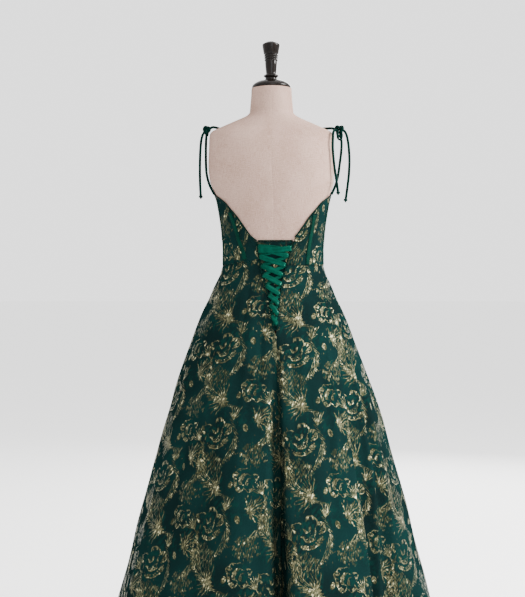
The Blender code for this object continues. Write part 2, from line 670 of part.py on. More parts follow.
def face_away(mesh):
    """Turn the faces of an open sheet on the back to face backwards (+Y)."""
    work = bmesh.new()
    work.from_mesh(mesh)
    bmesh.ops.recalc_face_normals(work, faces=work.faces)
    work.faces.ensure_lookup_table()
    if sum(face.normal.y for face in work.faces) < 0:
        bmesh.ops.reverse_faces(work, faces=work.faces)
    work.to_mesh(mesh)
    work.free()


def make_lacing():
    zigzag("lacing_under", "left", UNDER_LIFT)
    zigzag("lacing_over", "right", OVER_LIFT)


def fold_turn(row, height):
    return smooth([HEM, THIGH, WAIST], [row.hem, row.thigh, row.waist], height)


def fold_out(row, height):
    share = np.clip((row.starts - height) / (row.starts - HEM), 0, 1)
    return row.out * share ** 1.1


def skirt_panel(name, folds, start_edge=None, end_edge=None):
    """A skirt panel: fold lines from waist to hem, joined round the body by a curve at each level."""
    levels = []
    for share in SKIRT_SHARES:
        turns = np.array([row.waist for row in folds])
        for _ in range(3):
            top = waist_height(turns) - SEAM
            heights = top + (HEM - top) * share
            turns = np.array([float(fold_turn(row, height)) for row, height in zip(folds, heights)])
            first, last = turns[0], turns[-1]
            if start_edge is not None and heights[0] > OPENING_END:
                turns = last + (turns - last) * (last - start_edge(heights[0])) / (last - first)
            if end_edge is not None and heights[-1] > OPENING_END:
                turns = first + (turns - first) * (end_edge(heights[-1]) - first) / (last - first)
        outs = np.array([float(fold_out(row, height)) for row, height in zip(folds, heights)])
        controls = garment_point(turns, heights)
        controls += ring_point(turns, 0 * heights, outs)
        levels.append(inset(curve_through(controls, 2), 0.0002))
    grid = np.array(levels[::-1]).transpose(1, 0, 2)
    cloth(name, grid, (BROCADE, 0.5), CLOTH)


def make_skirt():
    skirt_panel("skirt_back_left", BACK_LEFT, start_edge=lambda h: float(opening_turn("left", h)))
    skirt_panel("skirt_back_right", BACK_RIGHT, end_edge=lambda h: float(opening_turn("right", h)))
    skirt_panel("skirt_front", FRONT)


def tube(name, points, radius, look, resolution=2):
    """A cord along a line of points."""
    curve = bpy.data.curves.new(name, "CURVE")
    curve.dimensions = "3D"
    curve.bevel_depth = radius
    curve.bevel_resolution = resolution
    curve.use_fill_caps = True
    line = curve.splines.new("POLY")
    line.points.add(len(points) - 1)
    for point, place in zip(line.points, points):
        point.co = (*place, 1)
    return add(name, curve, look)


def knot(name, place, radius):
    bpy.ops.mesh.primitive_ico_sphere_add(subdivisions=2, radius=radius, location=place)
    made = adopt(bpy.context.object, name, (DARK_GREEN, 0.3))
    made.data.shade_smooth()


def on_form(turn, height):
    """The middle of a cord that lies on the form."""
    height = np.asarray(height, float)
    return form_point(turn, height, FORM_CUP) + outward(form_point, turn, height) * (CORD_RADIUS + REST)


def strap_foot(foot, sign):
    return on_form(sign * foot.turn, neck_height(foot.turn) + foot.height)


def make_straps():
    look = (DARK_GREEN, 0.3)
    tails = {"left": TAIL_LEFT, "right_inner": TAIL_RIGHT_INNER, "right_outer": TAIL_RIGHT_OUTER}
    for side, sign, back in (("left", 1, STRAP_BACK_LEFT), ("right", -1, STRAP_BACK_RIGHT)):
        back = [strap_foot(STRAP_BACK_FOOT, sign), *back]
        over = [on_form(sign * rest.turn, rest.height) for rest in STRAP_FRONT]
        front = [STRAP_FRONT_STARTS[side], *over, strap_foot(STRAP_FRONT_FOOT, sign)]
        tube(f"strap_back_{side}", curve_through(back, 2), CORD_RADIUS, look)
        tube(f"strap_front_{side}", curve_through(front, 2), CORD_RADIUS, look)
    tube("loop_right", curve_through(LOOP_RIGHT, 2), LOOP_RADIUS, look)
    knot("knot_left", *KNOT_LEFT)
    knot("knot_right", *KNOT_RIGHT)
    for tail, points in tails.items():
        tube(f"tail_{tail}", curve_through(points, 2), CORD_RADIUS, look)
        end, before = np.array(points[-1]), np.array(points[-2])
        way = (end - before) / np.linalg.norm(end - before)
        knot(f"tail_knot_{tail}", end + way * (TAIL_KNOT_RADIUS + SEAM), TAIL_KNOT_RADIUS)


def turned(name, profile, look, steps, centre=(0.0, 0.0)):
    """A turned shape: a profile from the top down, with a Screw modifier about the upright axis."""
    mesh = bpy.data.meshes.new(name)
    points = [(row.radius, 0, row.height) for row in profile]
    mesh.from_pydata(points, [(i, i + 1) for i in range(len(points) - 1)], [])
    made = add(name, mesh, look)
    made.location = (*centre, 0)
    screw = made.modifiers.new("turn", "SCREW")
    screw.steps = screw.render_steps = steps
    screw.use_merge_vertices = True
    screw.merge_threshold = 0.0001
    screw.use_smooth_shade = True
    return made


def make_form():
    heights = sorted([row.height for row in FORM] + FORM_ROWS)
    turns = np.arange(0, 360, 12.0)
    points, faces = [], []
    for height in heights:
        points.extend(form_point(turns, np.full(turns.shape, height), FORM_CUP))
    around = len(turns)
    for j in range(len(heights) - 1):
        for i in range(around):
            a, b = j * around + i, j * around + (i + 1) % around
            faces.append((a, a + around, b + around, b))
    faces.append(tuple(range(around)))
    faces.append(tuple(reversed(range(len(points) - around, len(points)))))
    mesh = mesh_of("form_torso", points, faces)
    mesh.shade_smooth()
    add("form_torso", mesh, (LINEN, 0.85))

    lean = FORM[-1].lean
    turned("form_neck_cap", CAP, (EBONY, 0.25), 28, (lean, 0.0))
    turned("form_finial", FINIAL, (EBONY, 0.25), 18, (lean + 0.001, 0.0))
    turned("stand_base", STAND, (IRON, 0.5), 48)
    bottom, top = STAND[0].height + SEAM, FORM[0].height - SEAM
    bpy.ops.mesh.primitive_cylinder_add(
        vertices=20, radius=POLE_RADIUS, depth=top - bottom, location=(0, 0, (top + bottom) / 2)
    )
    adopt(bpy.context.object, "stand_pole", (IRON, 0.4))


for old in list(bpy.data.objects):
    bpy.data.objects.remove(old, do_unlink=True)
DRESS = collection("prom_dress_on_form")
make_form()
make_bodice()
make_casings()
make_modesty_panel()
make_bindings()
make_loops()
make_lacing()
make_skirt()
make_straps()
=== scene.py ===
import math

import bmesh
import bpy
import numpy as np
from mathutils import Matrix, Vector


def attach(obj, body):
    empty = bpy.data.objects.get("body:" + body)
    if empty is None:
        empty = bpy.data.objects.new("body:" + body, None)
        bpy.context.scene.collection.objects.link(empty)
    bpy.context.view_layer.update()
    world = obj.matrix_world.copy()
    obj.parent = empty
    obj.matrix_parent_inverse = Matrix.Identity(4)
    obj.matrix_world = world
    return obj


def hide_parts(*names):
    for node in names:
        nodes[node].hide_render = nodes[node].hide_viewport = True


# Prom dress laced at the back, on a limbless dress form. Metres, +Z up, the wearer faces -Y.
# A turn is an angle round the body: 0 is the centre back, 90 the wearer's left, 180 the centre front.

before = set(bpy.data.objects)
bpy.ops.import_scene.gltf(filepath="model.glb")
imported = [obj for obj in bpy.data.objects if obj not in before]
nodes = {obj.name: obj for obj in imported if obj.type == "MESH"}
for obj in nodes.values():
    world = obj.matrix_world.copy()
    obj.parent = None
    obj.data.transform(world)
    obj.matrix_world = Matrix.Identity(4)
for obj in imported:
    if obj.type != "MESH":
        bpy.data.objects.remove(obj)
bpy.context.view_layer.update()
print("frame loaded:", len(nodes), "nodes")


# view and light

studio = {
    "eye": (0.028, 3.0, 0.98),
    "aim": (0.0, 0.0, 0.9),
    "lens": 68.3,
    "sensor": 36,
    "sky": (1.0, 1.0, 1.0, 1.0),
    "skyPower": 2.1,
    "floor": (0.93, 0.93, 0.925, 1.0),
    "floorRoughness": 0.9,
    "floorRadius": 400.0,
    # name, place, size, power, colour
    "lamps": [
        ("windowLamp", (-3.1, 0.8, 2.8), 1.6, 480.0, (1.0, 0.99, 0.975)),
        ("roomLamp", (-0.6, 3.9, 2.2), 2.0, 60.0, (0.97, 0.985, 1.0)),
        ("ceilingLamp", (-0.6, 0.8, 3.8), 2.6, 40.0, (1.0, 1.0, 1.0)),
        ("frontLamp", (-1.2, -3.4, 2.2), 2.6, 170.0, (1.0, 0.99, 0.98)),
    ],
}


def makeStudio():
    camera = bpy.data.objects.new("camera", bpy.data.cameras.new("camera"))
    bpy.context.scene.collection.objects.link(camera)
    camera.location = studio["eye"]
    camera.rotation_euler = (math.radians(90), 0, math.radians(180))
    camera.data.lens = studio["lens"]
    camera.data.sensor_width = studio["sensor"]
    bpy.context.scene.camera = camera
    world = bpy.data.worlds.new("studio")
    bpy.context.scene.world = world
    world.use_nodes = True
    sky = world.node_tree.nodes["Background"]
    sky.inputs["Color"].default_value = studio["sky"]
    sky.inputs["Strength"].default_value = studio["skyPower"]
    for name, place, size, power, colour in studio["lamps"]:
        lamp = bpy.data.lights.new(name, "AREA")
        lamp.size, lamp.energy, lamp.color = size, power, colour
        holder = bpy.data.objects.new(name, lamp)
        bpy.context.scene.collection.objects.link(holder)
        holder.location = place
        aim = Vector(studio["aim"]) - Vector(place)
        holder.rotation_euler = aim.to_track_quat("-Z", "Y").to_euler()
    bpy.ops.mesh.primitive_circle_add(vertices=64, radius=studio["floorRadius"], fill_type="NGON")
    ground = bpy.context.object
    ground.name = "studioFloor"
    finish = bpy.data.materials.new("studioFloor")
    finish.use_nodes = True
    shader = finish.node_tree.nodes["Principled BSDF"]
    shader.inputs["Base Color"].default_value = studio["floor"]
    shader.inputs["Roughness"].default_value = studio["floorRoughness"]
    ground.data.materials.append(finish)


makeStudio()
print("studio made")


# shape of the form and the dress, the same as the solids

# height, half width, depth behind the axis, depth before it, squareness, lean to the left
formRows = [
    (0.800, 0.140, 0.103, 0.096, 2.2, 0.0), (0.803, 0.147, 0.109, 0.102, 2.2, 0.0),
    (0.812, 0.152, 0.113, 0.106, 2.2, 0.0), (0.870, 0.166, 0.122, 0.112, 2.2, 0.0),
    (0.930, 0.163, 0.118, 0.112, 2.2, 0.0), (0.980, 0.151, 0.106, 0.107, 2.25, 0.0),
    (1.030, 0.136, 0.092, 0.101, 2.3, 0.0), (1.066, 0.1295, 0.086, 0.098, 2.3, 0.0),
    (1.108, 0.1290, 0.086, 0.099, 2.3, 0.0), (1.140, 0.1312, 0.088, 0.101, 2.3, 0.0),
    (1.172, 0.1345, 0.091, 0.103, 2.3, 0.0), (1.204, 0.1395, 0.095, 0.106, 2.3, 0.0),
    (1.236, 0.1455, 0.099, 0.109, 2.3, 0.0), (1.254, 0.1510, 0.101, 0.110, 2.3, 0.0005),
    (1.289, 0.1635, 0.104, 0.107, 2.3, 0.003), (1.328, 0.1660, 0.105, 0.100, 2.3, 0.005),
    (1.380, 0.1645, 0.097, 0.087, 2.3, 0.005), (1.402, 0.1638, 0.088, 0.079, 2.3, 0.005),
    (1.413, 0.1625, 0.083, 0.074, 2.2, 0.005), (1.420, 0.1580, 0.079, 0.071, 2.1, 0.005),
    (1.428, 0.1430, 0.074, 0.067, 2.0, 0.005), (1.440, 0.1160, 0.068, 0.063, 2.0, 0.005),
    (1.452, 0.0880, 0.062, 0.059, 2.0, 0.005), (1.462, 0.0670, 0.058, 0.056, 2.0, 0.004),
    (1.472, 0.0580, 0.055, 0.054, 2.0, 0.004), (1.490, 0.0562, 0.0545, 0.0545, 2.0, 0.004),
    (1.512, 0.0543, 0.0533, 0.0533, 2.0, 0.004), (1.535, 0.0530, 0.0525, 0.0525, 2.0, 0.004),
]
# height, half width, depth behind, depth before, squareness
skirtRows = [
    (0.016, 0.447, 0.430, 0.410, 2.0), (0.190, 0.409, 0.388, 0.370, 2.0),
    (0.314, 0.378, 0.355, 0.340, 2.0), (0.446, 0.346, 0.319, 0.305, 2.0),
    (0.579, 0.308, 0.276, 0.265, 2.05), (0.727, 0.266, 0.228, 0.220, 2.1),
    (0.791, 0.244, 0.206, 0.200, 2.1), (0.854, 0.221, 0.183, 0.180, 2.15),
    (0.918, 0.1975, 0.156, 0.156, 2.2), (0.950, 0.184, 0.142, 0.143, 2.2),
    (0.981, 0.1685, 0.126, 0.130, 2.25), (1.013, 0.155, 0.109, 0.118, 2.3),
    (1.045, 0.1395, 0.0945, 0.106, 2.3), (1.066, 0.1335, 0.090, 0.102, 2.3),
]
neckRows = [  # turn, height of the bodice's top edge
    (24.0, 1.1255), (30.0, 1.1305), (35.6, 1.1395), (44.7, 1.1650), (51.5, 1.1885), (58.8, 1.2092),
    (66.5, 1.2296), (77.0, 1.2440), (90.0, 1.2543), (101.0, 1.2600), (113.0, 1.2710), (127.0, 1.2890),
    (141.0, 1.3020), (152.0, 1.3030), (164.0, 1.2935), (173.0, 1.2865), (180.0, 1.2850),
]
openingRows = [  # height, left edge, right edge, as distances to the left of the centre line
    (0.888, -0.0050, -0.0050), (0.908, 0.0022, -0.0092), (0.941, 0.0062, -0.0112), (0.966, 0.0100, -0.0138),
    (0.987, 0.0130, -0.0160), (1.010, 0.0200, -0.0208), (1.038, 0.0282, -0.0249), (1.069, 0.0339, -0.0339),
    (1.092, 0.0378, -0.0406), (1.131, 0.0432, -0.0555),
]
princessRows = [  # height, left seam, right seam
    (1.066, 0.0705, -0.0880), (1.100, 0.0780, -0.0905), (1.130, 0.0887, -0.0950), (1.165, 0.0990, -0.1010),
    (1.212, 0.1165, -0.1090),
]
cupSeamRows = [(1.066, 29.0), (1.140, 33.0), (1.213, 37.0), (1.300, 38.0)]
cut = {
    "waist": 1.066, "waistRise": 0.018, "riseTurn": 48.0, "hem": 0.016, "thigh": 0.71, "openingEnd": 0.888,
    "sideSeam": 80.0, "lift": 0.0040, "seamGap": 0.0003,
    "cupTurn": 36.0, "cupHeight": 1.213, "cupOut": 0.031, "cupSpread": 19.0, "cupUp": 0.052,
    "cupDown": 0.040, "formCup": 0.88, "slack": 0.0014, "slackOver": 0.02,
}
sides = {"left": 1, "right": 2}  # columns of the rows above


def smoothRead(rows, column, at, key=0):  # a curve through a table's points that never overshoots them
    xs = np.array([row[key] for row in rows], float)
    ys = np.array([row[column] for row in rows], float)
    step = np.diff(xs)
    slope = np.diff(ys) / step
    tangent = np.zeros(len(xs))
    tangent[0], tangent[-1] = slope[0], slope[-1]
    for i in range(1, len(xs) - 1):
        before, after = slope[i - 1], slope[i]
        if before * after > 0:
            tangent[i] = 2 * before * after / (before + after)
    at = np.clip(np.asarray(at, float), xs[0], xs[-1])
    i = np.clip(np.searchsorted(xs, at, side="right") - 1, 0, len(xs) - 2)
    u = (at - xs[i]) / step[i]
    start = (1 + 2 * u) * (1 - u) ** 2 * ys[i] + u * (1 - u) ** 2 * step[i] * tangent[i]
    return start + u * u * (3 - 2 * u) * ys[i + 1] + u * u * (u - 1) * step[i] * tangent[i + 1]


def ringRadius(turn, width, depth, square):
    a = np.radians(turn)
    return (np.abs(np.sin(a) / width) ** square + np.abs(np.cos(a) / depth) ** square) ** (-1 / square)


def ringPoint(turn, height, radius, lean=0.0):
    a = np.radians(turn)
    return np.stack([radius * np.sin(a) + lean, radius * np.cos(a), height], axis=-1)


def sectionRadius(rows, turn, height):
    depth = np.where(np.cos(np.radians(turn)) > 0, smoothRead(rows, 2, height), smoothRead(rows, 3, height))
    return ringRadius(turn, smoothRead(rows, 1, height), depth, smoothRead(rows, 4, height))


def bustOut(turn, height):
    away = np.abs((turn + 180) % 360 - 180)
    side = (180 - away - cut["cupTurn"]) / cut["cupSpread"]
    rise = height - cut["cupHeight"]
    tall = rise / np.where(rise > 0, cut["cupUp"], cut["cupDown"])
    return cut["cupOut"] * np.exp(-side**2 - tall**2)


def pair(turn, height):
    return np.broadcast_arrays(np.asarray(turn, float), np.asarray(height, float))


def formPoint(turn, height, cup=1.0):
    turn, height = pair(turn, height)
    radius = sectionRadius(formRows, turn, height) + bustOut(turn, height) * cup
    return ringPoint(turn, height, radius, smoothRead(formRows, 5, height))


def outward(surface, turn, height, turnStep=0.4, step=0.001):  # the surface's normal
    across = surface(turn + turnStep, height) - surface(turn - turnStep, height)
    up = surface(turn, height + step) - surface(turn, height - step)
    normal = np.cross(up, across)
    return normal / np.linalg.norm(normal, axis=-1, keepdims=True)


def bodicePoint(turn, height, lift=cut["lift"]):
    turn, height = pair(turn, height)
    return formPoint(turn, height) + outward(formPoint, turn, height) * np.asarray(lift)[..., None]


def garmentPoint(turn, height):
    turn, height = pair(turn, height)
    skirt = ringPoint(turn, height, sectionRadius(skirtRows, turn, height))
    return np.where((height > cut["waist"])[..., None], bodicePoint(turn, height), skirt)


def backTurn(distance, height):  # the turn that lies at a distance to the left of the centre back
    distance, height = pair(distance, height)
    low, high = np.full(distance.shape, -85.0), np.full(distance.shape, 85.0)
    for _ in range(20):
        middle = (low + high) / 2
        short = garmentPoint(middle, height)[..., 0] < distance
        low, high = np.where(short, middle, low), np.where(short, high, middle)
    return (low + high) / 2


def backPoint(distance, height, lift=0.0):
    turn = backTurn(distance, height)
    return garmentPoint(turn, height) + outward(garmentPoint, turn, height) * np.asarray(lift)[..., None]


def slack(height, start):  # room under the waist, where the skirt leaves the form
    return np.clip((start - height) / cut["slackOver"], 0, 1) * cut["slack"]


def neckHeight(turn):
    return smoothRead(neckRows, 1, np.abs((np.asarray(turn, float) + 180) % 360 - 180))


def waistHeight(turn):
    turn = (np.asarray(turn, float) + 180) % 360 - 180
    return cut["waist"] + cut["waistRise"] * np.exp(-((turn / cut["riseTurn"]) ** 2)) * (turn > 0)


def openingEdge(side, height):
    return smoothRead(openingRows, sides[side], height)


def openingTurn(side, height):
    return backTurn(openingEdge(side, height), height)


def princessTurn(side, height):
    return backTurn(smoothRead(princessRows, sides[side], height), height)


def cupSeamTurn(side, height):
    away = smoothRead(cupSeamRows, 1, height)
    return 180 - away if side == "left" else 180 + away


# finishes

def newLook(name, roughness=0.5, **settings):
    look = bpy.data.materials.new(name)
    look.use_nodes = True
    shader = look.node_tree.nodes["Principled BSDF"]
    shader.inputs["Roughness"].default_value = roughness
    for socket, value in settings.items():
        shader.inputs[socket.replace("_", " ")].default_value = value
    return look, look.node_tree, shader


def plug(tree, value, socket):  # a number, a vector or another node's output into a socket
    if isinstance(value, bpy.types.NodeSocket):
        tree.links.new(value, socket)
    elif hasattr(value, "__len__") and socket.type == "RGBA" and len(value) == 3:
        socket.default_value = (*value, 1)
    else:
        socket.default_value = value


def calc(tree, operation, *values):
    node = tree.nodes.new("ShaderNodeMath")
    node.operation = operation
    for value, socket in zip(values, node.inputs):
        plug(tree, value, socket)
    return node.outputs[0]


def times(tree, first, second):
    return calc(tree, "MULTIPLY", first, second)


def plus(tree, first, second):
    return calc(tree, "ADD", first, second)


def less(tree, first, second):  # the first less the second
    return calc(tree, "SUBTRACT", first, second)


def timesPlus(tree, first, second, third):  # the first times the second, plus the third
    return calc(tree, "MULTIPLY_ADD", first, second, third)


def most(tree, first, second):  # the greater of the two
    return calc(tree, "MAXIMUM", first, second)


def vectorCalc(tree, operation, *values, scale=None):
    node = tree.nodes.new("ShaderNodeVectorMath")
    node.operation = operation
    for value, socket in zip(values, node.inputs):
        plug(tree, value, socket)
    if scale is not None:
        plug(tree, scale, node.inputs["Scale"])
    return node.outputs["Value" if operation in ("LENGTH", "DOT_PRODUCT") else "Vector"]


def split(tree, vector):
    node = tree.nodes.new("ShaderNodeSeparateXYZ")
    plug(tree, vector, node.inputs[0])
    return node.outputs


def merge(tree, x, y, z=0.0):
    node = tree.nodes.new("ShaderNodeCombineXYZ")
    for value, socket in zip((x, y, z), node.inputs):
        plug(tree, value, socket)
    return node.outputs[0]


def noise(tree, vector, scale=1.0, detail=1.0, distortion=0.0):
    node = tree.nodes.new("ShaderNodeTexNoise")
    plug(tree, vector, node.inputs["Vector"])
    settings = {"Scale": scale, "Detail": detail, "Roughness": 0.5, "Distortion": distortion}
    for socket, value in settings.items():
        node.inputs[socket].default_value = value
    return node.outputs[0]


def stretch(tree, x, xScale, y, yScale):  # flat coordinates, scaled each way
    return merge(tree, times(tree, x, xScale), times(tree, y, yScale))


def ramp(tree, value, low, high, start=0.0, end=1.0):  # a smooth step
    node = tree.nodes.new("ShaderNodeMapRange")
    node.interpolation_type = "SMOOTHSTEP"
    for item, socket in zip((value, low, high, start, end), node.inputs):
        plug(tree, item, socket)
    return node.outputs[0]


def fall(tree, value, low, high):  # a smooth step down
    return ramp(tree, value, low, high, 1.0, 0.0)


def mixColour(tree, share, first, second):
    node = tree.nodes.new("ShaderNodeMix")
    node.data_type = "RGBA"
    plug(tree, share, node.inputs[0])
    plug(tree, first, node.inputs[6])
    plug(tree, second, node.inputs[7])
    return node.outputs[2]


def bump(tree, height, distance, strength=1.0):
    node = tree.nodes.new("ShaderNodeBump")
    node.inputs["Distance"].default_value = distance
    node.inputs["Strength"].default_value = strength
    plug(tree, height, node.inputs["Height"])
    return node


def bumpOn(tree, shader, height, distance, strength=1.0):
    plug(tree, bump(tree, height, distance, strength).outputs[0], shader.inputs["Normal"])


def paint(tree, shader, tone, low, high, dark, light):  # the colour goes from dark to light with the tone
    plug(tree, mixColour(tree, ramp(tree, tone, low, high), dark, light), shader.inputs["Base Color"])


def clothCoordinates(tree):
    node = tree.nodes.new("ShaderNodeUVMap")
    node.uv_map = "cloth"
    return node.outputs[0]


def objectCoordinates(tree):
    return tree.nodes.new("ShaderNodeTexCoord").outputs["Object"]


brocade = {
    "repeatWidth": 0.176, "repeatHeight": 0.222, "drop": 0.088,
    "ground": (0.0028, 0.0080, 0.0078), "groundLit": (0.0030, 0.0126, 0.0120),
    "brush": (0.0020, 0.0180, 0.0145),
    # the gold thread's colours: dim gold, partly painted shade; gold; and pale gold, a painted highlight
    "goldDim": (0.022, 0.023, 0.011), "gold": (0.100, 0.094, 0.050), "goldHighlight": (0.500, 0.465, 0.265),
    "crumple": (0.006, 0.45), "relief": (0.00045, 1.0),  # depth and strength
    # kind, across, up, turn in degrees, size, seed
    "motifs": [
        ("burst", 0.040, 0.060, 24.0, 0.058, 3.1),
        ("burst", -0.050, 0.010, 150.0, 0.048, 11.7),
        ("flower", 0.050, -0.032, 20.0, 0.039, 5.3),
        ("flower", -0.030, 0.084, 155.0, 0.030, 19.2),
        ("plume", 0.062, -0.100, 8.0, 0.034, 7.9),
        ("plume", -0.050, -0.078, -12.0, 0.031, 23.4),
        ("leaf", 0.082, 0.098, 64.0, 0.042, 2.2),
        ("leaf", -0.078, -0.030, -62.0, 0.036, 8.8),
        ("leaf", 0.008, -0.068, -66.0, 0.032, 19.5),
        ("fan", 0.006, 0.026, 10.0, 0.021, 27.7),
        ("fan", -0.072, 0.064, -30.0, 0.019, 31.4),
        ("bean", -0.024, -0.012, 70.0, 0.0070, 1.0),
        ("bean", 0.001, 0.070, 105.0, 0.0065, 4.0),
    ],
    # how uneven the brush's line is: fineness and amount
    "wavers": {
        "burst": (2.0, 0.36), "flower": (2.0, 0.56), "leaf": (1.2, 0.26), "fan": (1.6, 0.40),
        "bean": (0.9, 0.5),
    },
    # strokes from a centre: count round it, half width, stray
    "longRays": (17, 0.0020, 0.55), "fineRays": (27, 0.0013, 0.6), "fanRays": (31, 0.0011, 0.6),
    # the flower's crescents: centre and radius, centre and radius of the bite that opens them
    "petals": [
        ((-0.05, -0.10), 0.80, (0.25, 0.16), 0.82), ((0.16, 0.10), 0.52, (0.33, 0.27), 0.50),
        ((0.34, 0.34), 0.28, (0.46, 0.46), 0.26), ((-0.46, 0.56), 0.38, (-0.30, 0.30), 0.38),
        ((0.20, 0.88), 0.36, (0.22, 0.60), 0.36), ((0.86, 0.28), 0.34, (0.60, 0.20), 0.36),
    ],
}


def newGroup(name):
    tree = bpy.data.node_groups.new(name, "ShaderNodeTree")
    tree.interface.new_socket("Cloth", in_out="INPUT", socket_type="NodeSocketVector")
    tree.interface.new_socket("Centre", in_out="INPUT", socket_type="NodeSocketVector")
    for item in ("Turn", "Size", "Seed"):
        tree.interface.new_socket(item, in_out="INPUT", socket_type="NodeSocketFloat")
    for item in ("Gold", "Near"):
        tree.interface.new_socket(item, in_out="OUTPUT", socket_type="NodeSocketFloat")
    tree.interface.new_socket("Cloth", in_out="OUTPUT", socket_type="NodeSocketVector")
    return tree, tree.nodes.new("NodeGroupInput").outputs


def closeGroup(tree, given, gold, near):  # the place goes on to the next motif, so they are worked in turn
    out = tree.nodes.new("NodeGroupOutput").inputs
    plug(tree, gold, out["Gold"])
    plug(tree, near, out["Near"])
    after = merge(tree, times(tree, plus(tree, gold, near), 1e-8), 0.0)
    plug(tree, vectorCalc(tree, "ADD", given["Cloth"], after), out["Cloth"])
    return tree


def motifPlace(tree, given):  # where a point lies in the nearest repeat of a motif, in motif sizes
    away = split(tree, vectorCalc(tree, "SUBTRACT", given["Cloth"], given["Centre"]))
    column = calc(tree, "ROUND", calc(tree, "DIVIDE", away[0], brocade["repeatWidth"]))
    across = less(tree, away[0], times(tree, column, brocade["repeatWidth"]))
    up = timesPlus(tree, column, brocade["drop"], away[1])
    row = calc(tree, "ROUND", calc(tree, "DIVIDE", up, brocade["repeatHeight"]))
    up = less(tree, up, times(tree, row, brocade["repeatHeight"]))
    flat = merge(tree, across, up)
    angle = times(tree, given["Turn"], -math.pi / 180)
    turned = tree.nodes.new("ShaderNodeVectorRotate")
    turned.rotation_type = "Z_AXIS"
    plug(tree, flat, turned.inputs["Vector"])
    plug(tree, angle, turned.inputs["Angle"])
    inverse = calc(tree, "DIVIDE", 1.0, given["Size"])
    return vectorCalc(tree, "SCALE", turned.outputs[0], scale=inverse)


def waver(tree, given, kind):  # a motif's own place, pushed about like the uneven line of a brush
    scale, amount = brocade["wavers"][kind]
    place = motifPlace(tree, given)
    node = tree.nodes.new("ShaderNodeTexNoise")
    node.inputs["Scale"].default_value = scale
    node.inputs["Detail"].default_value = 1.0
    plug(tree, vectorCalc(tree, "ADD", place, merge(tree, given["Seed"], 0.0)), node.inputs["Vector"])
    push = vectorCalc(tree, "SCALE", vectorCalc(tree, "SUBTRACT", node.outputs["Color"], (0.5, 0.5, 0.5)),
                      scale=amount)
    return vectorCalc(tree, "ADD", place, vectorCalc(tree, "MULTIPLY", push, (1.0, 1.0, 0.0)))


def chanceOf(tree, value):  # a random number from 0 to 1 that stays the same for one value
    node = tree.nodes.new("ShaderNodeTexWhiteNoise")
    node.noise_dimensions = "1D"
    plug(tree, value, node.inputs["W"])
    return node.outputs["Value"]


def rays(tree, place, given, count, width, stray):  # strokes from a centre, a random number for each
    part = split(tree, place)
    far = vectorCalc(tree, "LENGTH", place)
    turns = times(tree, calc(tree, "ARCTAN2", part[1], part[0]), count / math.tau)
    ray = calc(tree, "ROUND", turns)
    chance = chanceOf(tree, plus(tree, times(tree, ray, 7.31), given["Seed"]))
    shift = timesPlus(tree, less(tree, chance, 0.5), stray, less(tree, turns, ray))
    wide = times(tree, times(tree, far, given["Size"]), math.tau / count)
    aside = times(tree, calc(tree, "ABSOLUTE", shift), wide)
    return fall(tree, aside, width * 0.45, width), chance


def dashes(tree, along, across, given, low=0.26, high=0.40):  # short strokes that keep clear of one another
    at = merge(tree, plus(tree, along, given["Seed"]), across)
    node = tree.nodes.new("ShaderNodeTexVoronoi")
    node.voronoi_dimensions = "2D"
    node.inputs["Scale"].default_value = 1.0
    node.inputs["Randomness"].default_value = 0.9
    plug(tree, at, node.inputs["Vector"])
    return fall(tree, node.outputs["Distance"], low, high), split(tree, node.outputs["Color"])[0]


def makeBurst():  # a half fan of long rays from a dense crooked spine
    tree, given = newGroup("burst")
    place = waver(tree, given, "burst")
    far = vectorCalc(tree, "LENGTH", place)
    way = split(tree, vectorCalc(tree, "NORMALIZE", place))
    forward = ramp(tree, way[0], -0.55, 0.40, 0.30, 1.0)
    long, chance = rays(tree, place, given, *brocade["longRays"])
    reach = times(tree, timesPlus(tree, chance, 0.72, 0.36), forward)
    gold = times(tree, long, fall(tree, less(tree, far, reach), -0.06, 0.02))
    fine, chance = rays(tree, place, given, *brocade["fineRays"])
    reach = times(tree, timesPlus(tree, chance, 0.50, 0.50), forward)
    start = timesPlus(tree, chance, 0.50, 0.10)
    fine = times(tree, fine, fall(tree, less(tree, far, reach), -0.10, 0.02))
    fine = times(tree, fine, ramp(tree, less(tree, far, start), 0.0, 0.05, 0.0, 0.85))
    gold = most(tree, gold, fine)
    gold = times(tree, gold, ramp(tree, far, 0.10, 0.95, 1.0, 0.62))
    return closeGroup(tree, given, gold, fall(tree, calc(tree, "DIVIDE", far, forward), 0.7, 1.2))


def crescent(tree, place, centre, radius, biteCentre, biteRadius, soft=0.035):  # its body and bright rim
    whole = vectorCalc(tree, "LENGTH", vectorCalc(tree, "SUBTRACT", place, (*centre, 0.0)))
    bite = vectorCalc(tree, "LENGTH", vectorCalc(tree, "SUBTRACT", place, (*biteCentre, 0.0)))
    body = fall(tree, whole, radius - soft, radius + soft)
    rim = fall(tree, calc(tree, "ABSOLUTE", less(tree, whole, radius - 0.03)), 0.018, 0.055)
    left = ramp(tree, bite, biteRadius - soft, biteRadius + soft)
    return times(tree, body, left), times(tree, rim, left)


def makeFlower():  # open crescents about a dark hollow, hatched along their curve
    tree, given = newGroup("flower")
    place = waver(tree, given, "flower")
    body, rim = 0.0, 0.0
    for petal in brocade["petals"]:
        bodyHere, rimHere = crescent(tree, place, *petal)
        body = most(tree, bodyHere, body)
        rim = most(tree, rimHere, rim)
    part = split(tree, place)
    far = vectorCalc(tree, "LENGTH", place)
    angle = calc(tree, "ARCTAN2", part[1], part[0])
    hatch, chance = dashes(tree, times(tree, far, 2.4), times(tree, angle, 6.0), given, 0.32, 0.48)
    broken = noise(tree, merge(tree, times(tree, part[0], 4.5), times(tree, part[1], 4.5), given["Seed"]))
    body = times(tree, body, times(tree, hatch, ramp(tree, chance, 0.1, 0.6, 0.7, 1.0)))
    rim = times(tree, rim, ramp(tree, broken, 0.42, 0.49))
    gold = most(tree, body, rim)
    return closeGroup(tree, given, gold, fall(tree, far, 0.75, 1.20))


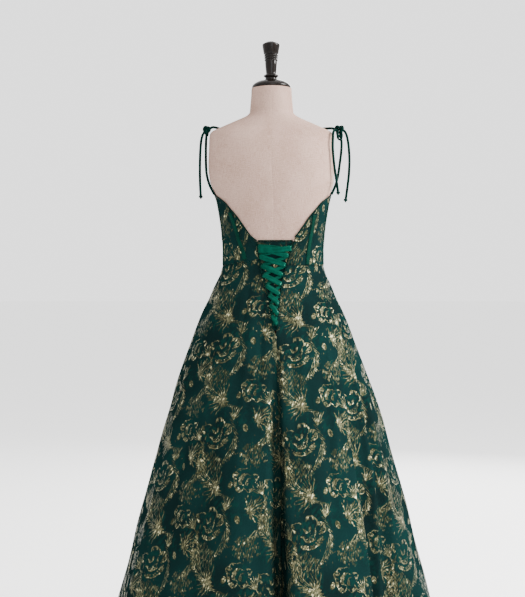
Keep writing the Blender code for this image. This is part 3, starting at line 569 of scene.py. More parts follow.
def makePlume():  # a tuft of short upright dashes with a lobed outline
    tree, given = newGroup("plume")
    place = motifPlace(tree, given)
    seed = merge(tree, given["Seed"], given["Seed"])
    ragged = noise(tree, vectorCalc(tree, "ADD", vectorCalc(tree, "SCALE", place, scale=2.1), seed))
    share = timesPlus(tree, ragged, 1.5, less(tree, vectorCalc(tree, "LENGTH", place), 0.72))
    wide = split(tree, vectorCalc(tree, "SCALE", place, scale=given["Size"]))
    lean = timesPlus(tree, wide[1], 0.16, wide[0])
    strokes, chance = dashes(tree, times(tree, lean, 310.0), times(tree, wide[1], 80.0), given, 0.30, 0.44)
    gold = times(tree, strokes, ramp(tree, chance, 0.15, 0.85, 0.50, 1.0))
    gold = times(tree, gold, fall(tree, share, 0.90, 1.02))
    gold = times(tree, gold, ramp(tree, ragged, 0.35, 0.60, 0.85, 0.60))
    return closeGroup(tree, given, gold, fall(tree, share, 0.8, 1.3))


def makeLeaf():  # a long open loop, hatched lengthwise, with thorny strokes along one side
    tree, given = newGroup("leaf")
    place = waver(tree, given, "leaf")
    part = split(tree, place)
    bent = timesPlus(tree, times(tree, part[0], part[0]), -0.28, part[1])
    slim = calc(tree, "DIVIDE", bent, timesPlus(tree, part[0], -0.03, 0.19))
    oval = vectorCalc(tree, "LENGTH", merge(tree, part[0], slim))
    hatch, chance = dashes(tree, times(tree, part[0], 2.8), times(tree, bent, 13.0), given)
    edge = calc(tree, "ABSOLUTE", less(tree, oval, 0.86))
    loop = times(tree, fall(tree, edge, 0.04, 0.12), ramp(tree, chance, 0.10, 0.35, 0.0, 1.0))
    inner = times(tree, ramp(tree, oval, 0.70, 0.86, 0.8, 0.0), hatch)
    slanting = timesPlus(tree, part[0], 10.0, times(tree, bent, 8.0))
    thorns = dashes(tree, slanting, times(tree, bent, 2.6), given)[0]
    beside = times(tree, ramp(tree, oval, 0.86, 1.0), fall(tree, oval, 1.6, 2.6))
    spikes = times(tree, fall(tree, bent, -0.10, 0.04), beside)
    spikes = times(tree, thorns, spikes)
    gold = most(tree, most(tree, loop, inner), spikes)
    return closeGroup(tree, given, gold, ramp(tree, oval, 1.1, 1.8, 0.7, 0.0))


def makeFan():  # a small bud: a bright foot and a ragged fan of strokes above it
    tree, given = newGroup("fan")
    place = waver(tree, given, "fan")
    above = vectorCalc(tree, "ADD", place, (0.0, 0.8, 0.0))
    far = vectorCalc(tree, "LENGTH", above)
    way = split(tree, vectorCalc(tree, "NORMALIZE", above))
    strokes, chance = rays(tree, above, given, *brocade["fanRays"])
    outer = timesPlus(tree, chance, 1.0, 0.85)
    gold = times(tree, strokes, fall(tree, less(tree, far, outer), -0.10, 0.04))
    gold = times(tree, gold, ramp(tree, way[1], 0.62, 0.76))
    return closeGroup(tree, given, gold, ramp(tree, far, 1.4, 2.2, 0.8, 0.0))


def makeBean():  # a small seed with a notch in it
    tree, given = newGroup("bean")
    place = waver(tree, given, "bean")
    oval = vectorCalc(tree, "LENGTH", vectorCalc(tree, "MULTIPLY", place, (0.72, 1.15, 0.0)))
    bright = noise(tree, vectorCalc(tree, "ADD", place, merge(tree, given["Seed"], 0.0)), 1.6)
    gold = times(tree, fall(tree, oval, 0.85, 1.10), ramp(tree, bright, 0.38, 0.54, 0.25, 1.0))
    return closeGroup(tree, given, gold, ramp(tree, oval, 1.2, 2.2, 0.6, 0.0))


def makeBrocade():
    look, tree, shader = newLook("brocade", roughness=0.42, Specular_IOR_Level=0.0)
    cloth = clothCoordinates(tree)
    makers = {"burst": makeBurst, "flower": makeFlower, "plume": makePlume, "leaf": makeLeaf,
              "fan": makeFan, "bean": makeBean}
    groups = {kind: maker() for kind, maker in makers.items()}
    gold, near, waiting = 0.0, 0.0, cloth
    for kind, across, up, turn, size, seed in brocade["motifs"]:
        node = tree.nodes.new("ShaderNodeGroup")
        node.node_tree = groups[kind]
        for item, value in (("Cloth", waiting), ("Centre", (across, up, 0.0)), ("Turn", turn),
                            ("Size", size), ("Seed", seed)):
            plug(tree, value, node.inputs[item])
        gold = most(tree, node.outputs["Gold"], gold)
        near = most(tree, node.outputs["Near"], near)
        waiting = node.outputs["Cloth"]
    axes = split(tree, cloth)
    flecks = noise(tree, stretch(tree, axes[0], 150.0, axes[1], 60.0))
    patches = noise(tree, cloth, 14.0)
    gold = most(tree, gold, times(tree, ramp(tree, flecks, 0.69, 0.72, 0.0, 0.6),
                                  ramp(tree, patches, 0.48, 0.60)))
    # the metal thread lies in short floats, with ground showing between them
    floats = noise(tree, stretch(tree, axes[0], 520.0, axes[1], 950.0))
    slanted = timesPlus(tree, axes[1], 0.3, axes[0])
    scratches = noise(tree, stretch(tree, slanted, 300.0, axes[1], 85.0), distortion=0.5)
    cover = times(tree, ramp(tree, gold, 0.05, 0.30), ramp(tree, floats, 0.36, 0.50, 0.45, 1.0))
    cover = times(tree, cover, ramp(tree, scratches, 0.36, 0.42, 0.35, 1.0))
    glints = noise(tree, stretch(tree, slanted, 230.0, axes[1], 100.0))
    # the gold's tone: glint and patch noise on each motif's gold value; a low tone gives dim gold, partly
    # the thread's own dullness and partly painted shade, a high tone pale gold, a painted highlight on the
    # metal thread
    glow = noise(tree, cloth, 38.0)
    tone = timesPlus(tree, less(tree, glints, 0.5), 2.4, less(tree, gold, 0.24))
    tone = timesPlus(tree, less(tree, glow, 0.5), 1.1, tone)
    goldColour = mixColour(tree, ramp(tree, tone, 0.25, 0.85), brocade["goldDim"], brocade["gold"])
    goldColour = mixColour(tree, ramp(tree, tone, 0.92, 1.26), goldColour, brocade["goldHighlight"])
    brushed = noise(tree, merge(tree, timesPlus(tree, axes[1], 40.0, times(tree, axes[0], 110.0)),
                                times(tree, axes[1], 70.0)), detail=2.0)
    brushed = ramp(tree, brushed, 0.47, 0.56)
    shade = noise(tree, cloth, 7.0, detail=2.0)
    ground = mixColour(tree, ramp(tree, shade, 0.35, 0.65), brocade["ground"], brocade["groundLit"])
    ground = mixColour(tree, times(tree, times(tree, brushed, near), 0.6), ground, brocade["brush"])
    plug(tree, mixColour(tree, cover, ground, goldColour), shader.inputs["Base Color"])
    plug(tree, times(tree, cover, 0.55), shader.inputs["Metallic"])
    plug(tree, ramp(tree, cover, 0.0, 1.0, 0.50, 0.33), shader.inputs["Roughness"])
    weave = times(tree, calc(tree, "SINE", times(tree, axes[0], 7000.0)),
                  calc(tree, "SINE", times(tree, axes[1], 9000.0)))
    relief = plus(tree, timesPlus(tree, weave, 0.12, times(tree, scratches, 0.8)),
                  times(tree, brushed, 0.35))
    soft = timesPlus(tree, noise(tree, cloth, 120.0, detail=2.0), 0.22,
                     noise(tree, cloth, 26.0, detail=3.0))
    crumple = bump(tree, soft, *brocade["crumple"])
    fine = bump(tree, relief, *brocade["relief"])
    plug(tree, crumple.outputs[0], fine.inputs["Normal"])
    plug(tree, fine.outputs[0], shader.inputs["Normal"])
    return look


satin = {
    "shineTint": (0.03, 1.0, 0.66, 1.0),
    # each finish has a lit and a shaded copy of one colour, which noise mixes into painted sheen and shade
    "ribbon": (0.0, 0.027, 0.0165), "ribbonShaded": (0.0, 0.016, 0.0095),
    "cord": (0.0010, 0.0060, 0.0050), "cordLit": (0.0010, 0.0090, 0.0070),
    "tape": (0.0015, 0.0130, 0.0090), "tapeLit": (0.0015, 0.0175, 0.0115),
}


def makeSatin(name, colour, shadeTwin, roughness, threads, shine):
    look, tree, shader = newLook(name, roughness=roughness, Specular_IOR_Level=shine,
                                 Specular_Tint=satin["shineTint"])
    place = objectCoordinates(tree)
    # painted sheen and shade: noise mixes the lit and the shaded copy of the colour
    shade = noise(tree, place, 60.0, detail=2.0)
    paint(tree, shader, shade, 0.35, 0.65, shadeTwin, colour)
    wave = tree.nodes.new("ShaderNodeTexWave")
    wave.bands_direction = "DIAGONAL"
    wave.inputs["Scale"].default_value = threads
    wave.inputs["Distortion"].default_value = 0.6
    plug(tree, place, wave.inputs["Vector"])
    bumpOn(tree, shader, wave.outputs["Fac"], 0.00004, 0.4)
    return look


linen = {"thread": (0.340, 0.232, 0.190), "shade": (0.235, 0.146, 0.112), "pitch": 5200.0}


def makeLinen():
    look, tree, shader = newLook("linen", roughness=0.9, Specular_IOR_Level=0.15)
    cloth = clothCoordinates(tree)
    axes = split(tree, cloth)
    warp = calc(tree, "SINE", times(tree, axes[0], linen["pitch"]))
    weft = calc(tree, "SINE", times(tree, axes[1], linen["pitch"]))
    weave = times(tree, warp, weft)
    slubAcross = noise(tree, stretch(tree, axes[0], 60.0, axes[1], 900.0))
    slubUp = noise(tree, stretch(tree, axes[0], 900.0, axes[1], 60.0))
    slubs = plus(tree, slubAcross, slubUp)
    specks = noise(tree, cloth, 420.0)
    tone = plus(tree, times(tree, slubs, 0.35), times(tree, weave, 0.10))
    tone = timesPlus(tree, specks, 0.30, tone)
    stain = noise(tree, cloth, 9.0, detail=3.0)
    tone = timesPlus(tree, less(tree, stain, 0.5), 0.35, tone)
    paint(tree, shader, tone, 0.36, 0.60, linen["shade"], linen["thread"])
    bumpOn(tree, shader, timesPlus(tree, weave, 0.5, slubs), 0.00028, 0.8)
    return look


wood = {"dark": (0.0026, 0.0019, 0.0016), "light": (0.0065, 0.0043, 0.0033), "grain": (260.0, 22.0)}


def makeDarkWood():
    look, tree, shader = newLook("darkWood", roughness=0.16, Specular_IOR_Level=0.12)
    axes = split(tree, objectCoordinates(tree))
    fine, along = wood["grain"]
    place = merge(tree, times(tree, axes[0], fine), times(tree, axes[1], fine), times(tree, axes[2], along))
    grain = noise(tree, place, detail=3.0, distortion=0.4)
    paint(tree, shader, grain, 0.40, 0.62, wood["dark"], wood["light"])
    bumpOn(tree, shader, grain, 0.00012, 0.35)
    return look


iron = {"dark": (0.022, 0.022, 0.024), "rubbed": (0.060, 0.060, 0.064)}


def makeIron():
    look, tree, shader = newLook("blackIron", Metallic=0.4)
    place = objectCoordinates(tree)
    cast = noise(tree, place, 420.0, detail=3.0)
    rubbed = noise(tree, place, 24.0, detail=3.0)
    paint(tree, shader, rubbed, 0.42, 0.68, iron["dark"], iron["rubbed"])
    plug(tree, ramp(tree, rubbed, 0.35, 0.65, 0.50, 0.34), shader.inputs["Roughness"])
    bumpOn(tree, shader, cast, 0.00015, 0.5)
    return look


reverse = {"ground": (0.004, 0.018, 0.017), "floats": (0.020, 0.030, 0.019)}


def makeReverse():  # the brocade's dull inner side
    look, tree, shader = newLook("brocadeReverse", roughness=0.8, Specular_IOR_Level=0.1)
    cloth = clothCoordinates(tree)
    axes = split(tree, cloth)
    loose = noise(tree, stretch(tree, axes[0], 90.0, axes[1], 600.0))
    paint(tree, shader, loose, 0.40, 0.62, reverse["ground"], reverse["floats"])
    bumpOn(tree, shader, loose, 0.0003, 0.6)
    return look


looks = {
    "brocade": makeBrocade(),
    "reverse": makeReverse(),
    "ribbon": makeSatin("emeraldRibbon", satin["ribbon"], satin["ribbonShaded"], 0.28, 380.0, 0.14),
    "cord": makeSatin("darkCord", satin["cord"], satin["cordLit"], 0.40, 260.0, 0.03),
    "tape": makeSatin("darkTape", satin["tape"], satin["tapeLit"], 0.50, 420.0, 0.03),
    "linen": makeLinen(),
    "wood": makeDarkWood(),
    "iron": makeIron(),
}
print("finishes made")


# helpers for cloth and cords

def addPiece(name, data, look, slot, *replaced):
    piece = bpy.data.objects.new(name, data)
    bpy.context.scene.collection.objects.link(piece)
    data.materials.clear()
    for item in look if isinstance(look, list) else [look]:
        data.materials.append(looks[item])
    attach(piece, "root")
    if replaced:
        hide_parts(*replaced)
    return piece


def gridFaces(columns, rows, closed=False):
    index = np.arange(columns * rows).reshape(columns, rows)
    if closed:
        index = np.concatenate([index, index[:1]])
    a, b, c, d = index[:-1, :-1], index[:-1, 1:], index[1:, 1:], index[1:, :-1]
    return np.stack([a, b, c, d], axis=-1).reshape(-1, 4).tolist()


def gridMesh(name, grid, cloth=None, closed=False):  # columns run with the turn, rows upwards
    columns, rows = grid.shape[:2]
    mesh = bpy.data.meshes.new(name)
    mesh.from_pydata(grid.reshape(-1, 3).tolist(), [], gridFaces(columns, rows, closed))
    if cloth is not None:
        loops = np.empty(len(mesh.loops), np.int32)
        mesh.loops.foreach_get("vertex_index", loops)
        flat = cloth.reshape(-1, 2)[loops]
        if closed:  # the last column's faces close round to the first
            width = cloth[-1, :, 0] + (cloth[-1, :, 0] - cloth[-2, :, 0])
            corner = flat.reshape(-1, 4, 2)
            last = slice((columns - 1) * (rows - 1), columns * (rows - 1))
            corner[last, 2, 0] = width[1:]
            corner[last, 3, 0] = width[:-1]
            flat = corner.reshape(-1, 2)
        mesh.uv_layers.new(name="cloth").data.foreach_set("uv", flat.ravel())
    mesh.update()
    mesh.shade_smooth()
    return mesh


def reshape(mesh, *changes):
    shape = bmesh.new()
    shape.from_mesh(mesh)
    for change in changes:
        change(shape)
    shape.to_mesh(mesh)
    shape.free()


def closeHoles(shape):
    bmesh.ops.holes_fill(shape, edges=[edge for edge in shape.edges if edge.is_boundary])


def mergePoints(shape):
    bmesh.ops.remove_doubles(shape, verts=shape.verts, dist=1e-6)


def faceOut(shape):
    bmesh.ops.recalc_face_normals(shape, faces=shape.faces)


def faceBack(shape):  # every face looks to the back
    bmesh.ops.reverse_faces(shape, faces=[face for face in shape.faces if face.normal.y < 0])


def thicken(piece, thick, inside=None):
    solid = piece.modifiers.new("thickness", "SOLIDIFY")
    solid.thickness = thick
    solid.offset = -1
    if inside is not None:
        solid.material_offset = inside
    return piece


def lengthsAlong(points, axis):
    step = np.linalg.norm(np.diff(points, axis=axis), axis=-1)
    start = np.zeros_like(np.take(step, [0], axis=axis))
    return np.concatenate([start, np.cumsum(step, axis=axis)], axis=axis)


def curveThrough(points, at):  # a smooth curve through control points, read at places counted in points
    points = np.asarray(points, float)
    padded = np.concatenate([[2 * points[0] - points[1]], points, [2 * points[-1] - points[-2]]])
    at = np.asarray(at, float)
    i = np.clip(np.floor(at).astype(int), 0, len(points) - 2)
    u = (at - i).reshape((-1,) + (1,) * (points.ndim - 1))
    a, b, c, d = padded[i], padded[i + 1], padded[i + 2], padded[i + 3]
    return 0.5 * (2 * b + (c - a) * u + (2 * a - 5 * b + 4 * c - d) * u**2 + (3 * b - a - 3 * c + d) * u**3)


def plainMesh(piece):  # the evaluated piece as a mesh without modifiers
    graph = bpy.context.evaluated_depsgraph_get()
    mesh = bpy.data.meshes.new_from_object(piece.evaluated_get(graph), depsgraph=graph)
    bpy.data.objects.remove(piece, do_unlink=True)
    return mesh


# skirt

# fold lines: turn at the waist, at the thigh and at the hem, stand-out at the hem, height where it begins
skirtFolds = {
    "skirt_back_left": [
        (-1.5, -3.0, -4.1, -0.112, 0.890), (3.0, 0.0, -2.1, -0.084, 0.890),
        (9.0, 4.0, -0.5, -0.020, 0.890), (16.0, 11.0, 7.5, 0.002, 0.900),
        (24.0, 18.0, 14.0, 0.015, 0.860), (32.0, 26.0, 22.0, 0.014, 0.860),
        (40.0, 34.0, 31.0, -0.006, 0.840), (48.0, 43.0, 40.0, -0.004, 0.840),
        (56.0, 52.0, 49.0, -0.018, 0.820), (64.0, 60.0, 58.0, 0.006, 0.820),
        (72.0, 69.0, 67.5, 0.006, 0.800), (80.0, 78.0, 77.0, -0.003, 0.800),
    ],
    "skirt_back_right": [
        (-80.0, -78.0, -77.0, 0.004, 0.850), (-77.5, -71.0, -68.0, 0.008, 0.880),
        (-75.0, -64.0, -58.0, -0.004, 0.920), (-72.5, -57.0, -49.0, -0.040, 0.940),
        (-70.0, -51.5, -42.5, -0.068, 0.950), (-67.5, -48.0, -38.6, -0.072, 0.950),
        (-65.5, -46.0, -36.4, -0.030, 0.950), (-63.0, -44.2, -34.6, 0.014, 0.950),
        (-57.0, -38.0, -29.0, 0.018, 0.930), (-47.0, -29.0, -21.5, 0.012, 0.920),
        (-34.0, -19.0, -14.0, 0.010, 0.900), (-20.0, -10.0, -8.6, 0.010, 0.900),
        (-11.0, -6.2, -7.2, 0.004, 0.890), (-6.5, -4.8, -6.3, -0.020, 0.890),
        (-3.5, -4.0, -5.9, -0.082, 0.890), (-1.5, -3.0, -4.1, -0.112, 0.890),
    ],
    "skirt_front": [
        (80.0, 78.0, 77.0, -0.003, 0.800), (90.0, 88.5, 88.0, -0.010, 0.820),
        (100.0, 99.0, 98.0, 0.010, 0.860), (110.0, 109.0, 108.0, 0.015, 0.860),
        (119.0, 119.0, 118.0, -0.012, 0.880), (127.0, 127.0, 127.0, -0.022, 0.880),
        (136.0, 136.0, 137.0, 0.008, 0.900), (146.0, 146.0, 147.0, 0.018, 0.900),
        (156.0, 156.0, 157.0, -0.006, 0.850), (165.0, 165.0, 166.0, -0.017, 0.850),
        (176.0, 177.0, 177.0, 0.006, 0.870), (187.0, 187.0, 187.0, 0.014, 0.870),
        (197.0, 197.0, 196.0, -0.008, 0.900), (206.0, 206.0, 205.0, -0.025, 0.900),
        (215.0, 215.0, 215.0, 0.004, 0.880), (225.0, 225.0, 226.0, 0.018, 0.880),
        (235.0, 235.0, 236.0, -0.002, 0.840), (245.0, 246.0, 247.0, -0.018, 0.840),
        (256.0, 257.0, 258.0, 0.004, 0.830), (268.0, 269.0, 270.0, 0.010, 0.830),
        (280.0, 282.0, 283.0, 0.004, 0.850),
    ],
}
skirt = {
    "thick": 0.0013,
    "rows": 110,
    "rowSpread": 1.12,
    "perFold": 9,
    # where the cloth is sampled beside a panel's edge, as shares of the way to the first fold line
    "edgePlaces": [0, 0.015, 0.03, 0.05, 0.08, 0.12, 0.18, 0.26, 0.36, 0.48, 0.62, 0.8],
    # the column that lies straight with the grain, as a share of the panel
    "grains": {"skirt_back_left": 0.42, "skirt_back_right": 0.62, "skirt_front": 0.5},
    "seamWidth": 0.0032,
    "seamDepth": 0.0011,
    # the cloth's own waver: depth, waves a radian, waves a metre up, start
    "wavers": [(0.0016, 11, 9.0, 0.6), (0.0011, 19, -14.0, 2.1), (0.0008, 7, 31.0, 4.0)],
    "waverRun": 0.9,
    "waverRise": 3,
    "puckerDepth": 0.0006,
    "puckerFade": 0.032,
    "puckerStart": 0.006,
    "puckerWaves": (47, 9, 13),
    "foldGrowth": 1.1,
    # creases fade towards a panel's first edge: reach and power
    "seamCalm": (0.004, 0.3),
    # a crease's width: its share at the top, and what it gains on the way down
    "creaseSpread": (0.55, 0.75),
    # powers that set where a crease is deepest and how softly it ends
    "creaseSwell": (0.8, 1.2),
    # soft creases: turn at the top, turn at the foot, top, foot, half width, depth
    "creases": [
        (12.0, 8.0, 1.02, 0.62, 0.010, -0.0028), (21.0, 16.5, 0.99, 0.30, 0.013, 0.0032),
        (30.0, 25.0, 1.04, 0.74, 0.008, -0.0022), (35.0, 29.5, 0.78, 0.05, 0.019, -0.0055),
        (44.0, 40.0, 1.00, 0.42, 0.012, 0.0030), (52.0, 48.5, 0.66, 0.02, 0.021, -0.0060),
        (59.0, 55.5, 0.97, 0.55, 0.011, -0.0026), (66.0, 63.5, 0.60, 0.02, 0.016, 0.0050),
        (72.0, 70.0, 0.90, 0.36, 0.012, -0.0030), (4.0, 3.5, 0.62, 0.10, 0.010, 0.0026),
        (-15.0, -10.5, 0.96, 0.55, 0.010, -0.0026), (-26.0, -15.5, 1.02, 0.66, 0.009, 0.0026),
        (-33.0, -20.0, 0.80, 0.16, 0.015, -0.0040), (-44.0, -27.0, 0.92, 0.44, 0.012, 0.0028),
        (-54.0, -31.0, 0.62, 0.05, 0.011, -0.0030), (-66.0, -52.0, 0.70, 0.10, 0.016, 0.0042),
        (-64.0, -34.5, 0.94, -0.30, 0.011, 0.0085), (-67.0, -42.0, 0.94, -0.30, 0.016, -0.0135),
        (-74.0, -66.0, 0.95, 0.50, 0.011, -0.0026), (-78.0, -73.5, 0.58, 0.04, 0.015, 0.0038),
        (88.0, 86.0, 0.92, 0.30, 0.014, -0.0034), (104.0, 104.0, 0.72, 0.04, 0.018, 0.0048),
        (114.0, 113.5, 1.01, 0.55, 0.010, -0.0028), (131.0, 132.0, 0.90, 0.26, 0.013, -0.0038),
        (141.0, 142.0, 0.66, 0.03, 0.019, 0.0052), (151.0, 152.0, 1.00, 0.48, 0.011, -0.0026),
        (161.0, 161.5, 0.84, 0.22, 0.013, 0.0034), (171.0, 172.0, 0.62, 0.03, 0.017, -0.0046),
        (182.0, 182.0, 1.02, 0.60, 0.010, 0.0026), (192.0, 192.0, 0.76, 0.10, 0.015, -0.0042),
        (202.0, 201.0, 0.94, 0.40, 0.012, 0.0030), (211.0, 210.5, 0.60, 0.02, 0.018, -0.0050),
        (220.0, 220.0, 0.98, 0.52, 0.010, -0.0026), (231.0, 232.0, 0.80, 0.18, 0.014, 0.0040),
        (241.0, 241.5, 0.64, 0.03, 0.018, -0.0048), (252.0, 253.0, 0.96, 0.46, 0.011, 0.0028),
        (263.0, 264.0, 0.72, 0.08, 0.016, -0.0042), (275.0, 277.0, 0.90, 0.34, 0.013, 0.0030),
    ],
}


def creaseRise(turn, height, radius):  # how far the listed creases and the cloth's own waver stand out
    total = np.zeros_like(turn)
    spread, gain = skirt["creaseSpread"]
    early, soft = skirt["creaseSwell"]
    for topTurn, footTurn, top, foot, halfWidth, depth in skirt["creases"]:
        down = (top - height) / (top - foot)
        inside = (down > 0) & (down < 1)
        t = np.clip(down, 0, 1)
        centre = topTurn + (footTurn - topTurn) * t
        away = (turn - centre + 180) % 360 - 180
        across = np.radians(away) * radius / (halfWidth * (spread + gain * t))
        total += inside * depth * np.sin(math.pi * t**early) ** soft * np.exp(-across**2)
    low = np.clip((cut["waist"] - height) / skirt["waverRun"], 0, 1)
    a = np.radians(turn)
    uneven = sum(depth * np.sin(a * around + height * up + begin)
                 for depth, around, up, begin in skirt["wavers"])
    total += uneven * np.clip(low * skirt["waverRise"], 0, 1)
    # small puckers where the skirt is set into the waist seam
    near = np.exp(-((cut["waist"] - height) / skirt["puckerFade"]))
    near *= np.clip((waistHeight(turn) - height) / skirt["puckerStart"], 0, 1)
    many, slow, swell = skirt["puckerWaves"]
    pucker = np.sin(a * many + 1.3 * np.sin(a * slow)) * (0.6 + 0.4 * np.sin(a * swell + 1.0))
    return total + near * pucker * skirt["puckerDepth"]


def edgeDip(points, width, depth):  # cloth draws in where it is seamed
    dip = np.zeros(points.shape[:2])
    along = lengthsAlong(points, 0)
    for away in (along, along[-1:] - along):
        dip -= depth * np.exp(-((away / width) ** 2))
    return dip


def foldPlaces(count):  # sampling of the curve round the body, closer together at the panel's edges
    steps = skirt["perFold"]
    inner = np.arange(1, count - 2, 1 / steps)
    first = np.array(skirt["edgePlaces"])
    return np.concatenate([first, inner, count - 1 - first[::-1]])


def skirtGrid(name, startEdge=None, endEdge=None):
    folds = np.array(skirtFolds[name])
    places = foldPlaces(len(folds))
    shares = np.linspace(0, 1, skirt["rows"]) ** skirt["rowSpread"]
    levels = []
    for share in shares:
        turns = folds[:, 0].copy()
        for _ in range(3):
            top = waistHeight(turns)
            heights = top + (cut["hem"] - top) * share
            knots = [cut["hem"], cut["thigh"], cut["waist"]]
            turns = np.array([
                smoothRead(list(zip(knots, (row[2], row[1], row[0]))), 1, height)
                for row, height in zip(folds, heights)
            ])
            first, last = turns[0], turns[-1]
            if startEdge is not None and heights[0] > cut["openingEnd"]:
                turns = last + (turns - last) * (last - startEdge(heights[0])) / (last - first)
            if endEdge is not None and heights[-1] > cut["openingEnd"]:
                turns = first + (turns - first) * (endEdge(heights[-1]) - first) / (last - first)
        begun = np.clip((folds[:, 4] - heights) / (folds[:, 4] - cut["hem"]), 0, 1)
        standOut = folds[:, 3] * begun ** skirt["foldGrowth"]
        controls = garmentPoint(turns, heights) + ringPoint(turns, 0 * heights, standOut)
        levels.append(curveThrough(controls, places))
    grid = np.array(levels[::-1]).transpose(1, 0, 2)
    turn = np.degrees(np.arctan2(grid[..., 0], grid[..., 1]))
    radius = np.linalg.norm(grid[..., :2], axis=-1)
    out = grid[..., :2] / radius[..., None]
    rise = creaseRise(turn, grid[..., 2], radius)
    reach, power = skirt["seamCalm"]
    rise *= np.clip(1 - np.exp(-lengthsAlong(grid, 0) / reach), 0, 1) ** power
    rise += edgeDip(grid, skirt["seamWidth"], skirt["seamDepth"])
    grid[..., :2] += out * rise[..., None]
    return grid


def coneCloth(grid, grain):  # lays a flared panel flat: distance and angle from the flare's apex
    middle = int((grid.shape[0] - 1) * grain)
    across = lengthsAlong(grid, 0)
    across = across - across[middle : middle + 1]
    up = lengthsAlong(grid, 1)[middle]
    top, foot = np.ptp(across[:, -1]), np.ptp(across[:, 0])
    apex = up[-1] * top / max(foot - top, 1e-6)
    reach = apex + up[-1] - up
    angle = across / reach[None, :]
    return np.stack([reach * np.sin(angle), -reach * np.cos(angle)], axis=-1)


def makeSkirt():
    edges = {
        "skirt_back_left": {"startEdge": lambda h: float(openingTurn("left", h))},
        "skirt_back_right": {"endEdge": lambda h: float(openingTurn("right", h))},
        "skirt_front": {},
    }
    for name, edge in edges.items():
        grid = skirtGrid(name, **edge)
        mesh = gridMesh(name, grid, coneCloth(grid, skirt["grains"][name]))
        piece = addPiece(name + "_cloth", mesh, ["brocade", "reverse"], "brocade", name)
        thicken(piece, skirt["thick"], 1)


# dress form

form = {
    "around": 128, "rows": 150, "shoulderRows": (1.404, 1.442, 14), "clothRadius": 0.14,
    "seamTurns": (0.0, 62.0, 118.0, 180.0, 242.0, 298.0), "seamDepth": 0.0003, "seamWidth": 0.0015,
    "seamSteps": (-1.6, -0.8, -0.3, 0, 0.3, 0.8, 1.6),
}


def makeForm():
    even = np.linspace(formRows[0][0], formRows[-1][0], form["rows"])
    heights = np.unique(np.round(np.concatenate([even, np.linspace(*form["shoulderRows"])]), 5))
    seams = [turn + step for turn in form["seamTurns"] for step in form["seamSteps"]]
    even = np.linspace(0, 360, form["around"], endpoint=False)
    turns = np.unique(np.concatenate([even, np.array(seams) % 360]))
    turn, height = np.meshgrid(turns, heights, indexing="ij")
    grid = formPoint(turn, height, cut["formCup"])
    radius = np.linalg.norm(grid[..., :2], axis=-1)
    dip = np.zeros_like(turn)
    for seamTurn in form["seamTurns"]:
        away = np.radians((turn - seamTurn + 180) % 360 - 180) * radius
        dip += form["seamDepth"] * np.exp(-((away / form["seamWidth"]) ** 2))
    grid[..., :2] -= grid[..., :2] / radius[..., None] * dip[..., None]
    across = np.radians(turn) * form["clothRadius"]
    up = lengthsAlong(grid, 1)
    mesh = gridMesh("form_torso_cover", grid, np.stack([across, up], axis=-1), closed=True)
    reshape(mesh, closeHoles, faceOut)
    addPiece("form_torso_cover", mesh, "linen", "linen", "form_torso")


finial = {
    "leanLeft": 0.005,
    "capLeanLeft": 0.004,
    "around": 72,
    "notches": 18,
    # down the finial and its cap: radius, height, depth of the notches round a bead
    "rows": [
        (0.0, 1.6622, 0), (0.0051, 1.6617, 0), (0.0107, 1.6598, 0), (0.0169, 1.6568, 0),
        (0.0218, 1.6540, 0), (0.0235, 1.6522, 0), (0.0238, 1.6505, 0), (0.0235, 1.6480, 0),
        (0.0229, 1.6440, 0), (0.0221, 1.6390, 0), (0.0211, 1.6335, 0), (0.0201, 1.6285, 0),
        (0.0192, 1.6268, 0), (0.0172, 1.6257, 0), (0.0169, 1.6248, 0), (0.0182, 1.6240, 0.0014),
        (0.0196, 1.6225, 0.0024), (0.0182, 1.6208, 0.0014), (0.0158, 1.6198, 0), (0.0157, 1.6190, 0),
        (0.0176, 1.6182, 0.0014), (0.0190, 1.6166, 0.0024), (0.0176, 1.6150, 0.0014), (0.0153, 1.6140, 0),
        (0.0152, 1.6131, 0), (0.0170, 1.6123, 0.0014), (0.0183, 1.6106, 0.0024), (0.0170, 1.6090, 0.0014),
        (0.0160, 1.6078, 0), (0.0164, 1.6060, 0), (0.0160, 1.5990, 0), (0.0151, 1.5890, 0),
        (0.0142, 1.5800, 0), (0.0138, 1.5755, 0), (0.0140, 1.5738, 0), (0.0169, 1.5722, 0),
        (0.0194, 1.5706, 0), (0.0201, 1.5688, 0), (0.0194, 1.5668, 0), (0.0169, 1.5654, 0),
        (0.0155, 1.5640, 0), (0.0154, 1.5622, 0), (0.0158, 1.5600, 0), (0.0168, 1.5582, 0),
        (0.0, 1.5578, 0),
    ],
    "cap": [
        (0.0, 1.5573, 0), (0.0106, 1.5573, 0), (0.0190, 1.5570, 0), (0.0264, 1.5560, 0),
        (0.0338, 1.5543, 0), (0.0401, 1.5519, 0), (0.0454, 1.5488, 0), (0.0494, 1.5453, 0),
        (0.0515, 1.5425, 0), (0.0521, 1.5402, 0), (0.0520, 1.5382, 0), (0.0513, 1.5366, 0),
        (0.0496, 1.5356, 0), (0.0, 1.5355, 0),
    ],
}


def turnedMesh(name, rows, centre):
    turns = np.linspace(0, 360, finial["around"], endpoint=False)
    rows = np.array(rows)[::-1]
    turn, radius = np.meshgrid(turns, rows[:, 0], indexing="ij")
    notch = np.abs(np.cos(np.radians(turn) * finial["notches"] / 2)) ** 3 * rows[None, :, 2]
    grid = ringPoint(turn, np.broadcast_to(rows[:, 1], turn.shape), radius - notch)
    grid[..., 0] += centre
    mesh = gridMesh(name, grid, closed=True)
    reshape(mesh, mergePoints, faceOut)
    return mesh


def makeStand():
    top = turnedMesh("finial", finial["rows"], finial["leanLeft"])
    addPiece("form_finial_turned", top, "wood", "dark_wood", "form_finial")
    cap = turnedMesh("cap", finial["cap"], finial["capLeanLeft"])
    addPiece("form_cap_turned", cap, "wood", "dark_wood", "form_neck_cap")
    for name in ("stand_base", "stand_pole"):
        nodes[name].data.materials.clear()
        nodes[name].data.materials.append(looks["iron"])


# bodice

